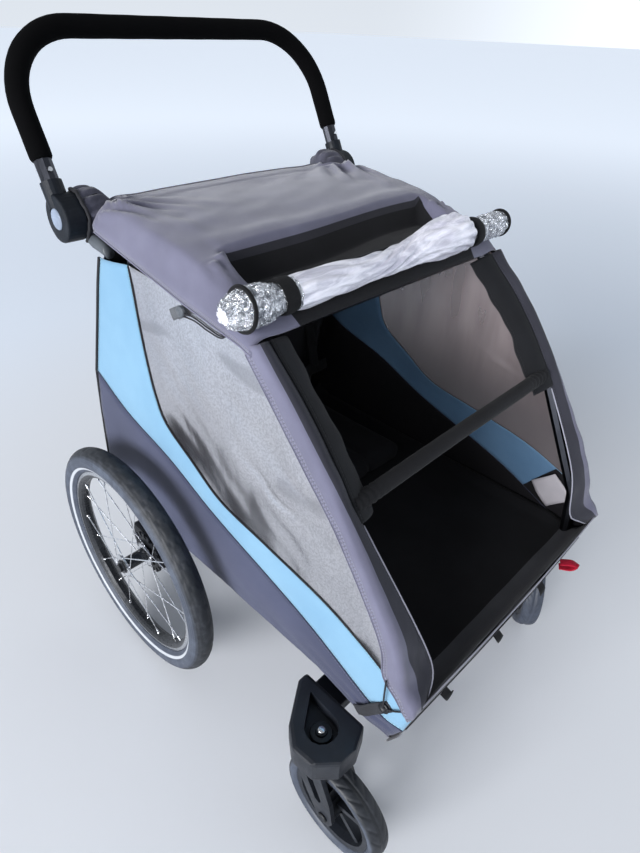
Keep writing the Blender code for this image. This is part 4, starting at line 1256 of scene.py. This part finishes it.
GRIP_START, GRIP_END, GRIP_BEND = 0.088, 0.28, 0.12
corners = [(GRIP_START, -ARM_X), (GRIP_END, -ARM_X), (GRIP_END, ARM_X), (GRIP_START, ARM_X)]
path = rounded([on_arm(*corner) for corner in corners], GRIP_BEND)
path = resample(np.array([tuple(p) for p in path]), 260)
way = np.concatenate([[0], np.cumsum(np.linalg.norm(np.diff(path, axis=0), axis=1))])
from_end = np.minimum(way, way[-1] - way)
radius = 0.0172 - 0.0022 * np.exp(-from_end / 0.0018) + 0.00012 * np.sin(way * 90)


def foam_finish():
    f = Finish("foam_grip", Roughness=0.95, Specular_IOR_Level=0.06)
    pores = f.noise(1100, 2, 0.6)
    mottle = f.noise(30, 4, 0.6)
    f.set(
        "Base Color",
        f.mix(f.times(f.add(pores, mottle), 0.5), (0.0007, 0.0007, 0.0009), (0.0026, 0.0026, 0.003))
    )
    f.set("Normal", f.bump(pores, 0.0006, 0.6))
    return f.material


piece(
    "grip_foam", tube_grid(path, radius, 32), [foam_finish()], "handlebar", wrap=True, caps=True,
    replaces=["handlebar_grip"], flip=True
)

# ---- tyres
def rubber_finish(name, centre, edges, reflective=False):
    """Rubber by radius: tread painted darker as painted shade, satin walls painted lighter as painted light,
    a fine moulded ring, a little dust in the tread.
    """
    f = Finish(name)
    radius = f.radius(centre)
    dust = f.ramp(f.noise(34, 5, 0.7), 0.42, 0.72)
    fine = f.noise(700, 2, 0.6)
    # Lighter walls and a darker tread from one rubber: painted light on the walls, painted shade on the
    # tread.
    wall = f.ramp(radius, *edges, 1.0, 0.0)
    tread = f.mix(dust, (0.008, 0.01, 0.014), (0.026, 0.029, 0.037))
    colour = f.mix(wall, tread, f.mix(dust, (0.036, 0.044, 0.064), (0.068, 0.082, 0.112)))
    relief = None
    if reflective:
        band = f.line(radius, 0.2138, 0.002)
        colour = f.mix(band, colour, (0.42, 0.44, 0.47))
        relief = f.bump(f.wave(radius, 0.004), 0.0003, 0.4)
        f.set("Roughness", f.ramp(band, 0, 1, 0.62, 0.3))
    else:
        f.set("Roughness", f.ramp(dust, 0, 1, 0.5, 0.7))
    f.set("Base Color", colour)
    f.set("Normal", f.bump(fine, 0.0004, 0.35, relief))
    return f.material


def tyre(name, body, centre, profile, turn, grooves, material, node, steps):
    """A tyre turned from a rounded profile, its tread cut by grooves(angle, height, radius)."""
    line = resample(catmull(profile, 8), 44)
    angles = around(steps)
    A, R = np.meshgrid(angles, line[:, 0], indexing="ij")
    H = np.broadcast_to(line[:, 1], A.shape)
    R = R - grooves(A, H, R)
    local = np.stack([R * np.cos(A), R * np.sin(A), H], axis=-1)
    grid = local @ np.array(turn).T + np.array(centre)
    grid = np.concatenate([grid, grid[:1]])
    piece(name, grid, [material], body, wrap=True, replaces=[node], flip=True)


def road_grooves(a, h, r):
    """A fine centre line, paired slits and curved shoulder sipes."""
    top = smoothstep(r, 0.236, 0.242)
    centre = np.exp(-((h / 0.0014) ** 2))
    pitch = TURN / 36
    phase = (a / pitch) % 1
    slit = (np.abs(np.abs(h) - 0.0062) < 0.0022) & (np.abs(phase - 0.5) < 0.16)
    curve = (a / pitch + np.abs(h) * 46) % 1
    sipe = (np.abs(h) > 0.01) & (np.abs(h) < 0.0195) & (np.abs(curve - 0.5) < 0.13)
    return top * (0.0014 * centre + 0.0012 * slit + 0.0011 * sipe)


def caster_grooves(a, h, r):
    pitch = TURN / 24
    curve = (a / pitch + np.abs(h) * 60) % 1
    cut = (np.abs(h) > 0.0045) & (np.abs(h) < 0.0175) & (np.abs(curve - 0.5) < 0.07)
    return smoothstep(r, 0.09, 0.094) * 0.0012 * cut


ROAD_PROFILE = [
    (0.2035, 0.0122), (0.206, 0.015), (0.212, 0.019), (0.219, 0.0222), (0.226, 0.0234), (0.233, 0.0222),
    (0.2395, 0.0188), (0.245, 0.0135), (0.2485, 0.007), (0.25, 0.0)
]
ROAD_PROFILE = ROAD_PROFILE + [(r, -h) for r, h in ROAD_PROFILE[-2::-1]] + [(0.2035, 0.0)]
CASTER_PROFILE = [
    (0.0793, 0.015), (0.083, 0.0178), (0.088, 0.0198), (0.093, 0.0195), (0.0965, 0.017), (0.099, 0.011),
    (0.0999, 0.0045), (0.0984, 0.0018), (0.098, 0.0)
]
CASTER_PROFILE = CASTER_PROFILE + [(r, -h) for r, h in CASTER_PROFILE[-2::-1]]
for side, sign in SIDES:
    centre = middle(f"wheel_tyre_{side}")
    turn = Matrix.Rotation(sign * pi / 2, 3, "Y")
    tyre(
        f"road_tyre_{side}", f"wheel_{side}", centre, ROAD_PROFILE, turn, road_grooves,
        rubber_finish(f"rubber_wheel_{side}", centre, (0.234, 0.243), True), f"wheel_tyre_{side}", 432
    )
    centre = middle(f"caster_tyre_{side}")
    turn = Matrix.Rotation(CASTER_HEADING[side], 3, "Z") @ Matrix.Rotation(pi / 2, 3, "Y")
    tyre(
        f"small_tyre_{side}", f"caster_wheel_{side}", centre, CASTER_PROFILE, turn, caster_grooves,
        rubber_finish(f"rubber_caster_{side}", centre, (0.09, 0.096)), f"caster_tyre_{side}", 240
    )

# ---- finishes of the CAD pieces that stay
def rim_finish(side, centre):
    """A machined edge on a black bed, by radius."""
    f = Finish(f"rim_{side}")
    radius = f.radius(centre)
    edge = f.ramp(radius, 0.1955, 0.1985)
    grain = f.noise(260, 3)
    silver = f.mix(grain, (0.45, 0.46, 0.48), (0.62, 0.63, 0.65))
    f.set("Base Color", f.mix(edge, (0.02, 0.022, 0.026), silver))
    f.set("Metallic", f.ramp(edge, 0, 1, 0.3, 1.0))
    f.set("Roughness", f.ramp(grain, 0.3, 0.7, 0.25, 0.38))
    f.set("Normal", f.bump(f.wave(radius, 0.0009), 0.0001, 0.25))
    return f.material


def hub_finish(side, centre):
    """Bright spokes and flanges on a black barrel."""
    f = Finish(f"hub_{side}")
    bright = f.ramp(f.radius(centre), 0.015, 0.0165)
    grain = f.noise(140, 3)
    f.set(
        "Base Color",
        f.mix(bright, (0.02, 0.022, 0.026), f.mix(grain, (0.55, 0.56, 0.58), (0.82, 0.83, 0.85)))
    )
    f.set("Metallic", f.ramp(bright, 0, 1, 0.2, 1.0))
    f.set("Roughness", f.ramp(grain, 0.3, 0.7, 0.2, 0.32))
    f.set("Normal", f.bump(f.noise(500, 2), 0.0002, 0.15))
    return f.material


def dress(material, *names):
    """Gives CAD nodes a finish."""
    for name in names:
        slots = NODES[name].material_slots
        if not slots:
            NODES[name].data.materials.append(material)
        for slot in slots:
            slot.material = material


dress(
    M["frame_grey"], "base_frame", "rear_hoop", "roof_front_tube", "axle_tube", "handlebar_tube",
    "side_frame_left", "side_frame_right"
)
dress(
    M["black_plastic"], "brake_pedal",
    *[f"{n}_{s}" for n in ("axle_housing", "wheel_button", "brake_ring", "swivel_cap") for s, _ in SIDES]
)
dress(
    M["grey_plastic"],
    *[f"{n}_{s}" for n in ("caster_block", "caster_fork", "caster_rim") for s, _ in SIDES]
)
dress(M["hub_plastic"], *[f"{n}_{s}" for n in ("hub_inner", "hub_outer") for s, _ in SIDES])
dress(M["steel"], *[f"{n}_{s}" for n in ("brake_pin", "snap_pin") for s, _ in SIDES])
dress(M["button_grey"], "hub_button_left", "hub_button_right")
for side, sign in SIDES:
    centre = middle(f"wheel_tyre_{side}")
    dress(rim_finish(side, centre), f"wheel_rim_{side}")
    dress(hub_finish(side, centre), f"hub_and_spokes_{side}")
    # Spoke nipples, where the spokes meet the rim.
    turn = np.array(Matrix.Rotation(sign * pi / 2, 3, "Y"))
    for index in range(20):
        angle = TURN * index / 20
        flange = 1 if index % 2 else -1
        out = np.array((cos(angle), sin(angle), 0))
        start = (out * 0.1755 + np.array((0, 0, flange * 0.005))) @ turn.T + np.array(centre)
        end = (out * 0.1868 + np.array((0, 0, flange * 0.004))) @ turn.T + np.array(centre)
        path = [start + (end - start) * k for k in (0, 0.15, 0.5, 0.75, 0.78, 1.0)]
        cord(
            f"nipple_{side}_{index + 1}", path, [0.0016, 0.0021, 0.0021, 0.0021, 0.0028, 0.0028], "steel",
            f"wheel_{side}"
        )

# ---- caster bolt heads
for side, sign in SIDES:
    cap = middle(f"swivel_cap_{side}")
    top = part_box(f"swivel_cap_{side}")[1].z
    disc(
        f"swivel_bolt_{side}", (cap.x, cap.y, top), (0, 0, 1),
        [(0.0062, -0.003), (0.0066, -0.0018), (0.0062, 0.0004), (0.004, 0.0013), (0.0005, 0.0015)], "steel",
        24, f"caster_fork_{side}"
    )
    wheel = middle(f"caster_rim_{side}")
    for end in (-1, 1):
        axis = Matrix.Rotation(CASTER_HEADING[side], 3, "Z") @ Vector((end, 0, 0))
        disc(
            f"caster_axle_{side}_{'ab'[end > 0]}", wheel + axis * 0.0335, axis,
            [
                (0.0088, -0.001), (0.0094, 0.0005), (0.0088, 0.0022), (0.005, 0.003), (0.0046, 0.002),
                (0.0006, 0.0018)
            ],
            "black_plastic", 24, f"caster_fork_{side}"
        )


for obj, path in ELASTICS.items():
    length = float(np.linalg.norm(np.diff(np.array(path), axis=0), axis=1).sum())

# ---- floor, light, camera
def floor(size=60.0):
    """A pale floor: darker under the window, and brightening into the distance."""
    f = Finish("floor_pale", Roughness=0.9, Specular_IOR_Level=0.15)
    distance = f.radius((0, 0, 0), (0, 1))
    far = f.ramp(distance, 0.9, 2.2)
    faint = f.times(f.noise(4, 3), 0.06)
    near_colour = f.mix(faint, (0.8, 0.815, 0.85), (0.74, 0.76, 0.8))
    under_window = f.ramp(f.from_point((0, 0, 0))[0], -6.0, -1.2, 1.0, 0.0)
    f.set("Base Color", f.mix(under_window, f.mix(far, near_colour, (0.84, 0.9, 0.99)), (0.2, 0.215, 0.235)))
    f.set("Emission Color", f.mix(faint, (0.86, 0.92, 1.0), (0.84, 0.9, 0.98)))
    f.set("Emission Strength", f.ramp(distance, 1.6, 9.0, 0.0, 0.42))
    f.set("Normal", f.bump(f.noise(350, 3), 0.0005, 0.15))
    mesh = bpy.data.meshes.new("floor")
    mesh.from_pydata(
        [(-size, -size, 0), (size, -size, 0), (size, size, 0), (-size, size, 0)], [], [(0, 1, 2, 3)]
    )
    mesh.materials.append(f.material)
    linked("floor", mesh)


floor()
scene = bpy.context.scene
scene.view_settings.view_transform = "Standard"
world = bpy.data.worlds.new("studio")
sky = Graph(world, "Background")
sky.set("Color", (0.86, 0.92, 1.0))
direction = sky.new("TexCoord").outputs["Generated"]
height = sky.new("SeparateXYZ", (direction,)).outputs[2]
facing = sky.new("VectorMath", (direction, (0.93, -0.37, 0.0)), operation="DOT_PRODUCT").outputs["Value"]
sky.set("Strength", sky.add(sky.ramp(height, -0.1, 0.8, 0.88, 0.35), sky.ramp(facing, 0.45, 1.0, 0.0, 0.75)))
scene.world = world


def area_light(name, place, target, size, power, colour):
    data = bpy.data.lights.new(name, "AREA")
    data.shape = "RECTANGLE"
    data.size, data.size_y = size
    data.energy = power
    data.color = colour
    obj = linked(name, data)
    obj.location = place
    obj.rotation_euler = (Vector(target) - Vector(place)).to_track_quat("-Z", "Y").to_euler()


area_light("window_light", (-10.0, -1.0, 2.8), (0, 0, 0.6), (6.6, 4.3), 1840, (0.97, 0.98, 1.0))
area_light("ceiling_light", (0.4, 0.3, 3.6), (0, 0, 0.5), (3.0, 3.0), 3, (1.0, 0.99, 0.97))

AZIMUTH, ELEVATION, ROLLED = -0.81088, 0.594706, 0.034645
back = Vector((sin(AZIMUTH) * cos(ELEVATION), -cos(AZIMUTH) * cos(ELEVATION), sin(ELEVATION)))
right = (-back).cross(Vector((0, 0, 1))).normalized()
up = right.cross(-back)
level_right = right * cos(ROLLED) + up * sin(ROLLED)
level_up = up * cos(ROLLED) - right * sin(ROLLED)
camera_data = bpy.data.cameras.new("camera")
camera_data.lens = 25.275
camera_data.sensor_width = 36
camera = linked("camera", camera_data)
camera.matrix_world = Matrix((level_right, level_up, back)).transposed().to_4x4()
camera.location = (-0.72898, -0.64871, 1.17123)
scene.camera = camera
